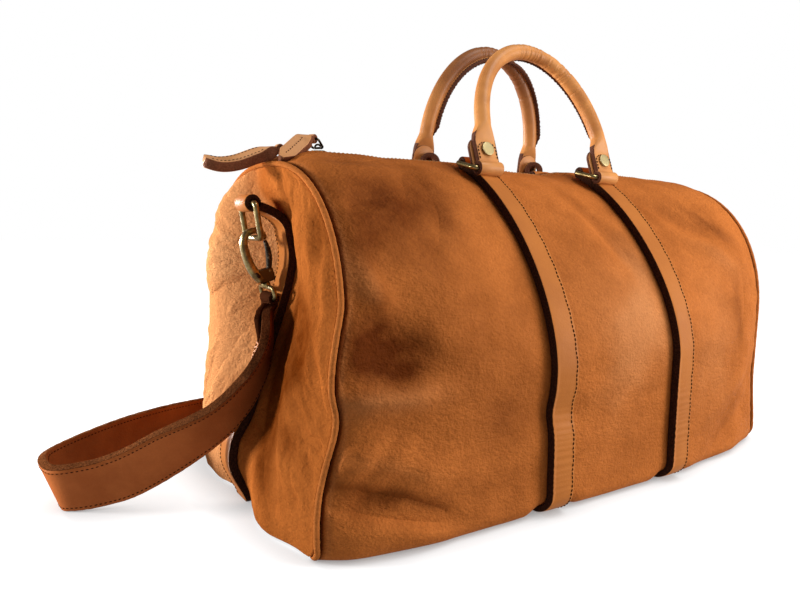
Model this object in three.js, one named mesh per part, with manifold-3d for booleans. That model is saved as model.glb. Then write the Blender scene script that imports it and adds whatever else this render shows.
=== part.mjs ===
// A soft leather travel bag with two rolled handles, strap-end rings and a clipped shoulder strap.
// Millimetres. +X runs along the bag to its right end, +Y to its back, +Z up.
// The origin lies on the floor under the middle of the base.
import * as THREE from "three";
import { mergeVertices } from "three/addons/utils/BufferGeometryUtils.js";
import Module from "manifold-3d";

const wasm = await Module();
wasm.setup();

// Leather, clearances and seams
const WALL = 2;
const GAP = 0.4;
const SEAM_X = 240;
const CORNER = 12;
const FLARE = { out: 9, from: 190, below: 75 };
const PIPE_RADIUS = 2.2;
const PIPE_SINK = 1;
const PIPE_UNTIL = 2.8;
const DENT_FADE = 20;
const ZIP_HALF = 7;

// Body straps, which carry the handle rings
const STRAP_X = 71;
const STRAPS = { left: { x: -STRAP_X, drift: 10 }, right: { x: STRAP_X, drift: 3 } };
const STRAP_WIDE = 22;
const STRAP_THICK = 5;
const STRAP_SEAT = 1.5 * GAP;
const STRAP_LIFT = STRAP_SEAT + STRAP_THICK + GAP;
const LIFT_RAMP = 18;

// Wire rings and the leather loops round them
const WIRE = 2.25;
const WIRE_SIDES = 5;
const LOOP_BORE = WIRE + 0.6;
const LOOP_RADIUS = 5.5;
const LOOP_BITE = 1.2;
const RING_HALF_WIDE = 15.75;
const RING_CORNER = 4;
const INNER_BAR_Y = 31;
const OUTER_BAR_Y = 50;

// Rolled handles
const HANDLE_RADIUS = 6.75;
const TAB_HALF_WIDE = 12;
const TAB_HALF_THICK = 2.6;
const TAB_TOP = 22;
const ROLLED_BY = 40;
const ARCH_FROM = 30;
const RIVET_AT = 16;
const RIVET_HEAD = 5;
const RIVET_SHANK = 1.9;
const RIVET_DOME = 1.9;
const RIVET_WASHER = 1;
const TAB_SQUARE = 6;
const GRIP_ANGLES = { from: 7, to: 83, count: 8 };

// Shoulder strap
const SLING_HALF_WIDE = 20;
const SLING_END_HALF_WIDE = 9.6;
const SLING_HALF_THICK = 2.3;
const SLING_TAPER = { from: 4, to: 42 };
const EYE_WIRE = 1.8;
const EYE_BORE = EYE_WIRE + 0.5;
const EYE_HALF_WIDE = 13.4;
const EYE_CORNER = 3;

// Half sections of the body: widest half width and its height, top height,
// roundness of the shoulder and half width of the flat foot.
const SECTIONS = [
  { x: -240, half: 128, waist: 130, top: 260, shoulder: 2.4, foot: 116 },
  { x: -222, half: 135, waist: 125, top: 268, shoulder: 2.2, foot: 128 },
  { x: -180, half: 143, waist: 118, top: 271, shoulder: 1.95, foot: 135 },
  { x: -71, half: 147, waist: 110, top: 271, shoulder: 1.6, foot: 136 },
  { x: 0, half: 149, waist: 110, top: 272, shoulder: 1.65, foot: 137 },
  { x: 71, half: 147, waist: 110, top: 271, shoulder: 1.6, foot: 136 },
  { x: 180, half: 138, waist: 118, top: 271, shoulder: 1.95, foot: 126 },
  { x: 222, half: 125, waist: 125, top: 268, shoulder: 2.1, foot: 113 },
  { x: 240, half: 117, waist: 130, top: 264, shoulder: 2.2, foot: 105 },
];

// Dents of the long panels: centre, half length and half width of each hollow,
// its depth (a ridge is negative) and the slope of its long axis in degrees.
const FRONT_DENTS = [
  { x: -206, z: 142, long: 34, wide: 24, depth: 9, slope: 80 },
  { x: -222, z: 172, long: 30, wide: 11, depth: -5, slope: -48 },
  { x: -212, z: 104, long: 34, wide: 11, depth: -5, slope: 4 },
  { x: -214, z: 46, long: 34, wide: 10, depth: 6, slope: 46 },
  { x: -214, z: 232, long: 20, wide: 8, depth: 4, slope: 14 },
  { x: -68, z: 80, long: 34, wide: 13, depth: 4, slope: 0 },
  { x: 0, z: 150, long: 46, wide: 34, depth: -3, slope: 0 },
  { x: 138, z: 226, long: 36, wide: 13, depth: 7, slope: -38 },
  { x: 158, z: 198, long: 34, wide: 12, depth: -4, slope: -38 },
  { x: 172, z: 30, long: 46, wide: 10, depth: 5, slope: 26 },
];
const BACK_DENTS = [
  { x: -190, z: 150, long: 40, wide: 22, depth: 7, slope: 70 },
  { x: -130, z: 60, long: 38, wide: 14, depth: 4, slope: 20 },
  { x: 0, z: 150, long: 46, wide: 34, depth: -3, slope: 0 },
  { x: 150, z: 210, long: 36, wide: 14, depth: 6, slope: 35 },
  { x: 196, z: 110, long: 34, wide: 20, depth: 6, slope: 80 },
];

// End panels: how far they puff out at each height, and how deep the strap pulls them in.
const END_FOLDS = [
  { z: 0, bulge: 13, groove: 0 },
  { z: 45, bulge: 22, groove: 0 },
  { z: 68, bulge: 24, groove: 11 },
  { z: 120, bulge: 20, groove: 24 },
  { z: 183, bulge: 19, groove: 41 },
  { z: 215, bulge: 18, groove: 35 },
  { z: 240, bulge: 12, groove: 15 },
  { z: 262, bulge: 0, groove: 0 },
];
const GROOVE_FLAT = 13;
const GROOVE_SPREAD = { front: 42, back: 27 };
const ENDS = [
  { name: "left", side: -1, skew: 0.28 },
  { name: "right", side: 1, skew: -0.2 },
];

// Places in the plane of each end strap: distance out from the middle of the bag, and height.
const CURL_FROM_Z = 210;
const CURL_PULL = { out: 230, z: 223 };
const END_LOOP = { out: 257, z: 229 };
const END_RING_FOOT = { out: 252.5, z: 203 };
const EYE_BAR = { out: 240, z: 157 };

// Snap hook, measured from the ring's lower bar: a points out from the bag, b up the hook.
const BOW = [
  { a: -8.2, b: -3.4 },
  { a: -7.6, b: 1 },
  { a: -4.6, b: 4.4 },
  { a: 0, b: 5.4 },
  { a: 5, b: 4.2 },
  { a: 8.6, b: -1 },
  { a: 9.6, b: -10 },
  { a: 8.6, b: -19 },
  { a: 5.6, b: -25.5 },
  { a: 1, b: -30 },
];
const BOW_HALF_WIDE = 2.3;
const BOW_HALF_DEEP = 2.8;
const BAR_SQUARE = 3;
const GATE_PIVOT = { a: -5, b: -27 };
const GATE_TIP = { a: -8.1, b: -4 };
const GATE_HALF_WIDE = 1.3;
const GATE_HALF_DEEP = 1.8;
const KNUCKLE = 2.4;
const PIN = 0.9;
const BLOCK = { left: -7.6, right: 5.2, top: -25, foot: -35, halfDeep: 3.4 };
const POST = 1.6;
const POST_REACH = 4;
const COLLAR = { radius: 3.6, tall: 3.6 };

// The shoulder strap's centre line; upright 0 lays its width along Y, 1 stands it on edge,
// and lean tips its upper edge outward.
const SLING_ROUTE = [
  { x: -240, y: 0, z: 153.6, upright: 0, lean: 0 },
  { x: -240.5, y: 0, z: 147, upright: 0, lean: 0 },
  { x: -244, y: -4, z: 134, upright: 0, lean: 0 },
  { x: -251, y: -10, z: 115, upright: 0, lean: 0 },
  { x: -262, y: -13, z: 97, upright: 0.04, lean: 0 },
  { x: -279, y: -8, z: 75, upright: 0.25, lean: 0 },
  { x: -314, y: 5, z: 47, upright: 0.7, lean: 0 },
  { x: -353, y: 17, z: 28, upright: 0.95, lean: 0.1 },
  { x: -390, y: 38, z: 20.5, upright: 1, lean: 0.3 },
  { x: -390, y: 62, z: 20.5, upright: 1, lean: 0.3 },
  { x: -351, y: 95, z: 20.5, upright: 1, lean: 0.15 },
  { x: -304, y: 126, z: 20.5, upright: 1, lean: 0 },
  { x: -245, y: 152, z: 20.5, upright: 1, lean: 0 },
  { x: -150, y: 168, z: 20.5, upright: 1, lean: 0 },
  { x: 0, y: 170, z: 20.5, upright: 1, lean: 0 },
  { x: 150, y: 167, z: 20.5, upright: 1, lean: 0 },
  { x: 232, y: 152, z: 20.5, upright: 1, lean: 0 },
  { x: 292, y: 116, z: 21, upright: 1, lean: 0 },
  { x: 312, y: 72, z: 30, upright: 0.95, lean: 0 },
  { x: 304, y: 32, z: 56, upright: 0.75, lean: 0 },
  { x: 280, y: 10, z: 86, upright: 0.35, lean: 0 },
  { x: 257, y: 2, z: 116, upright: 0.05, lean: 0 },
  { x: 245, y: 0, z: 137, upright: 0, lean: 0 },
  { x: 240.5, y: 0, z: 147, upright: 0, lean: 0 },
  { x: 240, y: 0, z: 153.6, upright: 0, lean: 0 },
];
const SLING_STEPS = 56;

// Rolled handles: side of the bag, lean towards the zip in degrees, height over the ring
// and sideways sway of the grip.
const HANDLES = [
  { name: "front", side: -1, lean: 20, rise: 118, sway: 3 },
  { name: "back", side: 1, lean: 7, rise: 122, sway: 1 },
];

// Zip: two sliders near the left end, each with a link and a folded leather pull.
const CHAIN_HALF = 2.8;
const CHAIN_TOP_SINK = 1;
const CHAIN_THICK = 2.6;
const TAPE_SINK = WALL + GAP + 0.8;
const TAPE_REACH = 11;
const TAPE_THICK = 1;
const CHAIN_END_X = 228;
const TAPE_END_X = 234;
const ZIP_TAB = { from: 233, slot: 5, reach: 13, thick: 1.6, clear: 0.5 };
const PULL_HALF_WIDE = 7.5;
const PULL_NECK = 2.8;
const PULL_HALF_THICK = 2.3;
const PULL_LOOP = 3.6;
const LINK_WIRE = 0.9;
const LINK_LENGTH = 10;
const LINK_HALF_WIDE = 5;
const LINK_CORNER = 2;
const PLATE = { halfLong: 5.5, halfWide: 4.6, top: 1.6, foot: -CHAIN_TOP_SINK + GAP };
const BRIDGE = { radius: 3.6, bore: 1.8, halfThick: 0.7, lift: 3.6 };
const SLIDERS = [
  {
    x: -221, yaw: 0, tilt: -4,
    route: [
      { run: 0, rise: 0 }, { run: 9, rise: -1 }, { run: 20, rise: -4 },
      { run: 34, rise: -9 }, { run: 46, rise: -11 }, { run: 58, rise: -10 },
    ],
  },
  {
    x: -199, yaw: 31, tilt: 38,
    route: [
      { run: 0, rise: 0 }, { run: 8, rise: 0.5 }, { run: 18, rise: -4 },
      { run: 30, rise: -11 }, { run: 41, rise: -16.5 },
    ],
  },
];
const PULL_TIP = { round: 6, blunt: 0.45 };
const NECK = { from: 3, to: 13 };

const LEATHER = new THREE.MeshStandardMaterial({ color: 0xb87038, roughness: 0.55, metalness: 0 });
const STRAP_LEATHER = new THREE.MeshStandardMaterial({ color: 0xc6884e, roughness: 0.5, metalness: 0 });
const SLING_LEATHER = new THREE.MeshStandardMaterial({ color: 0x7c3f1f, roughness: 0.5, metalness: 0 });
const BRASS = new THREE.MeshStandardMaterial({ color: 0xb59a5b, roughness: 0.35, metalness: 1 });
const ZIP_CLOTH = new THREE.MeshStandardMaterial({ color: 0x3a2a1e, roughness: 0.9, metalness: 0 });

const X_AXIS = new THREE.Vector3(1, 0, 0);
const Y_AXIS = new THREE.Vector3(0, 1, 0);
const point = (x, y, z) => new THREE.Vector3(x, y, z);
const radians = THREE.MathUtils.degToRad;
const mix = THREE.MathUtils.lerp;

// A closed body from corners and triangles, its faces turned outward.
function body(corners, triangles) {
  let volume = 0;
  for (const [a, b, c] of triangles) {
    volume += corners[a].dot(corners[b].clone().cross(corners[c]));
  }
  const index = [];
  for (const [a, b, c] of triangles) {
    index.push(...(volume < 0 ? [a, c, b] : [a, b, c]));
  }
  const geometry = new THREE.BufferGeometry().setFromPoints(corners);
  geometry.setIndex(index);
  return geometry;
}

// A body swept through rings of equal count: closed on itself, or capped at both ends.
function sweep(rings, closed = false) {
  const count = rings[0].length;
  const triangles = [];
  const steps = closed ? rings.length : rings.length - 1;
  for (let i = 0; i < steps; i += 1) {
    const here = i * count;
    const next = ((i + 1) % rings.length) * count;
    for (let k = 0; k < count; k += 1) {
      const l = (k + 1) % count;
      triangles.push([here + k, here + l, next + l], [here + k, next + l, next + k]);
    }
  }
  if (!closed) {
    const end = (rings.length - 1) * count;
    for (let k = 1; k < count - 1; k += 1) {
      triangles.push([0, k + 1, k], [end, end + k, end + k + 1]);
    }
  }
  return body(rings.flat(), triangles);
}

// A wall between two grids of points, closed round its rim.
function wall(outer, inner) {
  const rows = outer.length;
  const columns = outer[0].length;
  const corners = [...outer.flat(), ...inner.flat()];
  const at = (layer, i, j) => (layer * rows + i) * columns + j;
  const triangles = [];
  const quad = (a, b, c, d) => triangles.push([a, b, c], [a, c, d]);
  for (let i = 0; i < rows - 1; i += 1) {
    for (let j = 0; j < columns - 1; j += 1) {
      quad(at(0, i, j), at(0, i + 1, j), at(0, i + 1, j + 1), at(0, i, j + 1));
      quad(at(1, i, j), at(1, i, j + 1), at(1, i + 1, j + 1), at(1, i + 1, j));
    }
  }
  for (let i = 0; i < rows - 1; i += 1) {
    const last = columns - 1;
    quad(at(0, i, 0), at(1, i, 0), at(1, i + 1, 0), at(0, i + 1, 0));
    quad(at(0, i + 1, last), at(1, i + 1, last), at(1, i, last), at(0, i, last));
  }
  for (let j = 0; j < columns - 1; j += 1) {
    const last = rows - 1;
    quad(at(0, 0, j + 1), at(1, 0, j + 1), at(1, 0, j), at(0, 0, j));
    quad(at(0, last, j), at(1, last, j), at(1, last, j + 1), at(0, last, j + 1));
  }
  return body(corners, triangles);
}

function solidOf(geometry) {
  const bare = geometry.clone();
  bare.deleteAttribute("normal");
  bare.deleteAttribute("uv");
  const merged = mergeVertices(bare);
  const vertProperties = new Float32Array(merged.attributes.position.array);
  const triVerts = new Uint32Array(merged.index.array);
  return new wasm.Manifold(new wasm.Mesh({ numProp: 3, vertProperties, triVerts }));
}

function geometryOf(solid) {
  const mesh = solid.getMesh();
  const geometry = new THREE.BufferGeometry();
  geometry.setAttribute("position", new THREE.BufferAttribute(mesh.vertProperties, 3));
  geometry.setIndex(new THREE.BufferAttribute(mesh.triVerts, 1));
  return geometry;
}

const join = (...pieces) => geometryOf(pieces.map(solidOf).reduce((all, next) => all.add(next)));
const cut = (piece, tool) => geometryOf(solidOf(piece).subtract(solidOf(tool)));

// One column of a table at a place along it, by smooth cubic spans through the rows.
function along(rows, key, column, place) {
  const last = rows.length - 1;
  const at = THREE.MathUtils.clamp(place, rows[0][key], rows[last][key]);
  let i = 0;
  while (i < last - 1 && at > rows[i + 1][key]) i += 1;
  const slope = (k) => {
    const before = rows[Math.max(k - 1, 0)];
    const after = rows[Math.min(k + 1, last)];
    return (after[column] - before[column]) / (after[key] - before[key]);
  };
  const span = rows[i + 1][key] - rows[i][key];
  const u = (at - rows[i][key]) / span;
  const rise = rows[i + 1][column] - rows[i][column];
  const ease = u * u * (3 - 2 * u);
  const lead = u * (1 - u) * (1 - u) * span * slope(i);
  const trail = u * u * (u - 1) * span * slope(i + 1);
  return rows[i][column] + rise * ease + lead + trail;
}

// How far the base is lifted over the two body straps that run under it.
function baseLift(x) {
  const past = Math.abs(Math.abs(x) - STRAP_X) - STRAP_WIDE / 2;
  return STRAP_LIFT * (1 - THREE.MathUtils.smoothstep(past, 0, LIFT_RAMP));
}

// How far the ends sag outward near the floor.
function flare(x, z) {
  const near = THREE.MathUtils.smoothstep(Math.abs(x), FLARE.from, SEAM_X);
  return FLARE.out * near * (1 - THREE.MathUtils.smoothstep(z, 0, FLARE.below));
}

// Half section at x: t 0 to 1 is the shoulder from the zip, 1 to 2 the side, 2 to 3 the corner.
function sectionAt(x) {
  const section = {};
  for (const column of ["half", "waist", "top", "shoulder", "foot"]) {
    section[column] = along(SECTIONS, "x", column, x);
  }
  return section;
}

function sectionPoint(x, t) {
  const { half, waist, top, shoulder, foot } = sectionAt(x);
  const lift = baseLift(x);
  if (t <= 1) {
    const angle = Math.acos((ZIP_HALF / half) ** (shoulder / 2)) * (1 - t);
    const power = 2 / shoulder;
    return { y: half * Math.cos(angle) ** power, z: waist + (top - waist) * Math.sin(angle) ** power };
  }
  if (t <= 2) {
    const fall = t - 1;
    return { y: mix(half, foot + CORNER, fall * fall), z: mix(waist, CORNER + lift, fall) };
  }
  const angle = (t - 2) * (Math.PI / 2);
  return { y: foot + CORNER * Math.cos(angle), z: lift + CORNER * (1 - Math.sin(angle)) };
}

// The place on the shoulder, as t, that lies y from the middle.
function shoulderAt(x, y) {
  const { half, shoulder } = sectionAt(x);
  const angle = Math.acos((y / half) ** (shoulder / 2));
  return 1 - angle / Math.acos((ZIP_HALF / half) ** (shoulder / 2));
}

function crownHeight(x, y) {
  return sectionPoint(x, shoulderAt(x, Math.max(Math.abs(y), ZIP_HALF))).z;
}

function dentDepth(dents, x, z) {
  const fade = THREE.MathUtils.smoothstep(SEAM_X - Math.abs(x), 0, DENT_FADE);
  let depth = 0;
  for (const dent of dents) {
    const slope = radians(dent.slope);
    const run = (x - dent.x) * Math.cos(slope) + (z - dent.z) * Math.sin(slope);
    const side = (z - dent.z) * Math.cos(slope) - (x - dent.x) * Math.sin(slope);
    depth += dent.depth * Math.exp(-((run / dent.long) ** 2) - (side / dent.wide) ** 2);
  }
  return depth * fade;
}

// A point of a long panel's skin, dents included, and the outward normal of its smooth form.
function skin(side, x, t) {
  const step = 0.01;
  const spot = (u, v) => {
    const { y, z } = sectionPoint(u, THREE.MathUtils.clamp(v, 0, 3));
    return point(u + Math.sign(u) * flare(u, z), side * y, z);
  };
  const place = spot(x, t);
  const alongX = spot(x + step, t).sub(spot(x - step, t));
  const alongT = spot(x, t + step).sub(spot(x, t - step));
  const normal = alongX.cross(alongT).normalize().multiplyScalar(side);
  const dents = side < 0 ? FRONT_DENTS : BACK_DENTS;
  place.addScaledVector(normal, -dentDepth(dents, x, place.z));
  return { place, normal };
}

const skinPoint = (side, x, t, height) => {
  const { place, normal } = skin(side, x, t);
  return place.addScaledVector(normal, height);
};

const steps = (from, to, count) => Array.from({ length: count + 1 }, (_, i) => mix(from, to, i / count));
const mirrored = (values) => [...values.map((value) => -value).reverse(), ...values];
const GIRTH = [...steps(0, 1, 7), ...steps(1, 2, 5).slice(1), ...steps(2, 3, 2).slice(1)];
const STRAP_EDGES = [STRAP_X - STRAP_WIDE / 2, STRAP_X + STRAP_WIDE / 2];
const RAMP_FEET = [STRAP_EDGES[0] - LIFT_RAMP, STRAP_EDGES[1] + LIFT_RAMP];
const COLUMNS = mirrored([
  14, RAMP_FEET[0], ...STRAP_EDGES, RAMP_FEET[1], ...steps(RAMP_FEET[1], 212, 4).slice(1), 228, SEAM_X,
]);

function longPanel(side) {
  const layer = (height) => COLUMNS.map((x) => GIRTH.map((t) => skinPoint(side, x, t, height)));
  return wall(layer(0), layer(-WALL));
}

// Outline of an end, set in from the body's own section to leave room for the piping.
function endOutline(side, t, inset) {
  const x = side * SEAM_X;
  const { place, normal } = skin(1, x, t);
  const flat = point(0, normal.y, normal.z).normalize();
  return { y: place.y - flat.y * inset, z: place.z - flat.z * inset };
}

// How far an end panel stands out past its seam at a height and a part of its half width.
function endPuff(end, y, halfWide, z) {
  const beyond = Math.max(0, Math.abs(y) - GROOVE_FLAT);
  const part = (Math.sign(y) * beyond) / (halfWide - GROOVE_FLAT);
  const bulge = along(END_FOLDS, "z", "bulge", z) * (1 - part ** 4) * (1 + end.skew * part);
  const spread = y < 0 ? GROOVE_SPREAD.front : GROOVE_SPREAD.back;
  const groove = along(END_FOLDS, "z", "groove", z) * Math.exp(-((beyond / spread) ** 2));
  return bulge - groove * (1 - part ** 4);
}

const END_FACE = SEAM_X + GAP + PIPE_RADIUS + WALL / 2;
const END_INSET = PIPE_SINK + PIPE_RADIUS + GAP;

// How far out of the middle an end panel's face lies.
function endOut(end, y, halfWide, z) {
  return END_FACE + flare(SEAM_X, z) + endPuff(end, y, halfWide, z);
}

// Half width of an end panel at each height, passing under the piping's ends at the floor.
function endRows(end) {
  const rows = [];
  for (const t of [...GIRTH].reverse()) {
    const inset = mix(END_INSET, WALL + GAP, THREE.MathUtils.clamp(2 * t - 5, 0, 1));
    const { y, z } = endOutline(end.side, t, inset);
    rows.push({ halfWide: y, z });
  }
  return rows;
}

function endPanel(end) {
  const rows = endRows(end);
  const layer = (height) => rows.map(({ halfWide, z }) => {
    const inner = Math.min(GROOVE_FLAT, halfWide * 0.4);
    const outer = steps(inner, halfWide, 4);
    return mirrored(outer).map((y) => {
      return point(end.side * (endOut(end, y, halfWide, z) + height), y, z);
    });
  });
  return wall(layer(0), layer(-WALL));
}

// Round piping along the arch of an end seam, from one bottom corner over the top to the other.
function piping(end) {
  const stops = GIRTH.filter((t) => t < PIPE_UNTIL);
  const path = [];
  for (const side of [-1, 1]) {
    const half = stops.map((t) => {
      const { y, z } = endOutline(end.side, t, PIPE_SINK);
      return point(end.side * (SEAM_X + flare(SEAM_X, z) + GAP + PIPE_RADIUS), side * y, z);
    });
    path.push(...(side < 0 ? half.reverse() : half));
  }
  return sweep(path.map((centre, i) => {
    const ahead = path[Math.min(i + 1, path.length - 1)];
    const behind = path[Math.max(i - 1, 0)];
    const normal = ahead.clone().sub(behind).normalize().cross(X_AXIS);
    return circle(centre, normal, X_AXIS, PIPE_RADIUS, WIRE_SIDES);
  }));
}

function circle(centre, u, v, radius, sides) {
  return oval(centre, u, v, radius, radius, 2, sides);
}

// A ring of points round a centre: exponent 2 is an ellipse, higher ones square it off.
function oval(centre, u, v, halfU, halfV, exponent, sides) {
  return steps(0, 2 * Math.PI, sides).slice(1).map((angle) => {
    const cos = Math.cos(angle);
    const sin = Math.sin(angle);
    const a = Math.sign(cos) * Math.abs(cos) ** (2 / exponent) * halfU;
    const b = Math.sign(sin) * Math.abs(sin) ** (2 / exponent) * halfV;
    return centre.clone().addScaledVector(u, a).addScaledVector(v, b);
  });
}

// Four corners of a ribbon's section.
function slat(centre, wide, thick, halfWide, halfThick) {
  return [[-1, -1], [1, -1], [1, 1], [-1, 1]].map(([a, b]) => (
    centre.clone().addScaledVector(wide, a * halfWide).addScaledVector(thick, b * halfThick)));
}

// A leather loop round a bar: a short tube with its axis along the bar.
function loop(centre, axis, bore, radius, halfWide) {
  const outline = [[bore, -1], [radius, -1], [radius, 1], [bore, 1], [bore, -1]];
  const profile = outline.map(([r, end]) => new THREE.Vector2(r, end * halfWide));
  const geometry = new THREE.LatheGeometry(profile, 10);
  geometry.applyQuaternion(new THREE.Quaternion().setFromUnitVectors(Y_AXIS, axis));
  return geometry.translate(centre.x, centre.y, centre.z);
}

// A closed wire frame with round corners, in the plane of two unit vectors.
function wireFrame(centre, u, v, halfU, halfV, corner, wire) {
  const path = [];
  for (let quarter = 0; quarter < 4; quarter += 1) {
    for (const angle of steps(quarter * 90, quarter * 90 + 90, 2).map(radians)) {
      const signU = quarter === 0 || quarter === 3 ? 1 : -1;
      const signV = quarter < 2 ? 1 : -1;
      const a = signU * (halfU - corner) + corner * Math.cos(angle);
      const b = signV * (halfV - corner) + corner * Math.sin(angle);
      path.push(centre.clone().addScaledVector(u, a).addScaledVector(v, b));
    }
  }
  const facing = u.clone().cross(v);
  return sweep(path.map((spot, i) => {
    const ahead = path[(i + 1) % path.length];
    const behind = path[(i + path.length - 1) % path.length];
    const outward = ahead.clone().sub(behind).normalize().cross(facing);
    return circle(spot, outward, facing, wire, WIRE_SIDES);
  }), true);
}

// Where a strap's loop and the handle's loop sit over the shoulder.
function barPlaces(side, strap) {
  const x = strapMiddle(strap, side, 0);
  const inner = skinPoint(side, x, shoulderAt(x, INNER_BAR_Y), GAP + LOOP_RADIUS);
  const outerHeight = STRAP_SEAT + STRAP_THICK + 2 * GAP + LOOP_RADIUS;
  const outer = skinPoint(side, x, shoulderAt(x, OUTER_BAR_Y), outerHeight);
  inner.x = x;
  outer.x = x;
  return { inner, outer };
}

// A strap's middle at t: straight on the front, drifting sideways as it climbs the back.
function strapMiddle({ x, drift }, side, t) {
  return side < 0 ? x : x + drift * (1 - THREE.MathUtils.smoothstep(t, 0, 2));
}

// A body strap: from the front loop down the bag, under the base and up to the back loop.
function bodyStrap(strap) {
  const startY = INNER_BAR_Y + LOOP_BORE + LOOP_BITE;
  const heights = [STRAP_SEAT, STRAP_SEAT + STRAP_THICK];
  const half = (side) => {
    const start = shoulderAt(strap.x, startY);
    const stops = [start, ...GIRTH.filter((t) => t > start + 0.04)];
    return stops.map((t) => {
      const middle = strapMiddle(strap, side, t);
      const edges = [middle - STRAP_WIDE / 2, middle + STRAP_WIDE / 2];
      const [inner, outer] = heights.map((height) => edges.map((x) => skinPoint(side, x, t, height)));
      return [...inner, ...outer.reverse()];
    });
  };
  const strip = sweep([...half(-1), ...half(1).reverse()]);
  const loops = [-1, 1].map((side) => (
    loop(barPlaces(side, strap).inner, X_AXIS, LOOP_BORE, LOOP_RADIUS, STRAP_WIDE / 2)));
  return join(strip, ...loops);
}

function handleRing(side, strap) {
  const { inner, outer } = barPlaces(side, strap);
  const centre = inner.clone().add(outer).divideScalar(2);
  const span = outer.clone().sub(inner);
  return wireFrame(
    centre, X_AXIS, span.clone().normalize(), RING_HALF_WIDE, span.length() / 2, RING_CORNER, WIRE);
}

const BASE_INSET = 1.5 * GAP;
const BASE_PARTS = [-1, -0.55, -0.15, 0.35, 1];

// The base lies flat on the floor and is lifted where the body straps cross under it.
function basePanel() {
  const layer = (height) => COLUMNS.map((x, i) => {
    const halfWide = sectionAt(x).foot - BASE_INSET;
    const endmost = i === 0 || i === COLUMNS.length - 1;
    return BASE_PARTS.map((part) => {
      const puff = endmost ? (END_FACE - SEAM_X + END_FOLDS[0].bulge) * (1 - part ** 4) : 0;
      const out = Math.abs(x) + flare(x, 0) + puff;
      return point(Math.sign(x) * out, part * halfWide, baseLift(x) + height);
    });
  });
  return wall(layer(0), layer(WALL));
}

// An end strap: up the groove of the end panel, then curling out to the loop of the ring.
function endStrap(end) {
  const rows = endRows(end).filter(({ z }) => z < CURL_FROM_Z);
  const middle = STRAP_SEAT + STRAP_THICK / 2;
  const path = rows.map(({ halfWide, z }) => (
    new THREE.Vector2(endOut(end, 0, halfWide, z) + middle, z)));
  path[0].y = GAP;
  const top = path[path.length - 1];
  const reach = new THREE.QuadraticBezierCurve(
    top, new THREE.Vector2(CURL_PULL.out, CURL_PULL.z), new THREE.Vector2(END_LOOP.out, END_LOOP.z));
  const before = 1 - (LOOP_BORE + LOOP_BITE) / reach.getLength();
  path.push(...steps(0, before, 5).slice(1).map((u) => reach.getPointAt(u)));
  const rings = path.map((spot, i) => {
    const ahead = path[Math.min(i + 1, path.length - 1)];
    const behind = path[Math.max(i - 1, 0)];
    const run = ahead.clone().sub(behind).normalize();
    const thick = point(end.side * run.y, 0, -run.x);
    const bend = i === 0 ? point(end.side, 0, 0) : thick;
    return slat(
      point(end.side * spot.x, 0, spot.y), Y_AXIS, bend, STRAP_WIDE / 2, STRAP_THICK / 2);
  });
  const centre = point(end.side * END_LOOP.out, 0, END_LOOP.z);
  return join(sweep(rings), loop(centre, Y_AXIS, LOOP_BORE, LOOP_RADIUS, STRAP_WIDE / 2));
}

const onEnd = (end, place) => point(end.side * place.out, 0, place.z);

function endRing(end) {
  const top = onEnd(end, END_LOOP);
  const foot = onEnd(end, END_RING_FOOT);
  const span = foot.clone().sub(top);
  const centre = top.clone().add(foot).divideScalar(2);
  return wireFrame(
    centre, Y_AXIS, span.clone().normalize(), RING_HALF_WIDE, span.length() / 2, RING_CORNER, WIRE);
}

// The hook's own plane at an end: origin in the ring's lower bar, a out from the bag, b up.
function hookFrame(end) {
  const foot = onEnd(end, END_RING_FOOT);
  const up = foot.clone().sub(onEnd(end, EYE_BAR));
  const length = up.length();
  up.normalize();
  const out = point(end.side * up.z, 0, -end.side * up.x);
  const at = ({ a, b }) => foot.clone().addScaledVector(out, a).addScaledVector(up, b);
  return { up, out, at, length };
}

// A bar of oval section along places in the hook's plane.
function hookBar(frame, places, halfWide, halfDeep) {
  const path = places.map(frame.at);
  return sweep(path.map((spot, i) => {
    const ahead = path[Math.min(i + 1, path.length - 1)];
    const behind = path[Math.max(i - 1, 0)];
    const wide = ahead.clone().sub(behind).normalize().cross(Y_AXIS);
    return oval(spot, wide, Y_AXIS, halfWide, halfDeep, BAR_SQUARE, 8);
  }));
}

// A block in the hook's plane, between two values of a and of b, and of a given half depth.
function hookBlock(frame, { left, right, top, foot, halfDeep }) {
  const middle = (left + right) / 2;
  return sweep([foot, top].map((b) => (
    slat(frame.at({ a: middle, b }), frame.out, Y_AXIS, (right - left) / 2, halfDeep))));
}

function hookPin(frame, radius, halfLong) {
  const centre = frame.at(GATE_PIVOT);
  const pin = new THREE.CylinderGeometry(radius, radius, 2 * halfLong, 8);
  return pin.translate(centre.x, centre.y, centre.z);
}

// A stub turned about the hook's axis, between two heights.
function hookStub(frame, radius, top, foot) {
  const ends = [top, foot].map((b) => frame.at({ a: 0, b }));
  return sweep(ends.map((centre) => circle(centre, frame.out, Y_AXIS, radius, 10)));
}

function hookBody(end) {
  const frame = hookFrame(end);
  const room = KNUCKLE + GAP;
  const slot = hookBlock(frame, {
    left: GATE_PIVOT.a - 4 * room,
    right: GATE_PIVOT.a + room,
    top: BLOCK.top + room,
    foot: GATE_PIVOT.b - room,
    halfDeep: GATE_HALF_DEEP + GAP,
  });
  const socket = hookStub(frame, POST + GAP, BLOCK.foot + POST_REACH + GAP, BLOCK.foot - 1);
  const bow = hookBar(frame, BOW, BOW_HALF_WIDE, BOW_HALF_DEEP);
  const block = cut(cut(join(bow, hookBlock(frame, BLOCK)), slot), socket);
  return join(block, hookPin(frame, PIN, BLOCK.halfDeep - GAP / 2));
}

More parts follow.
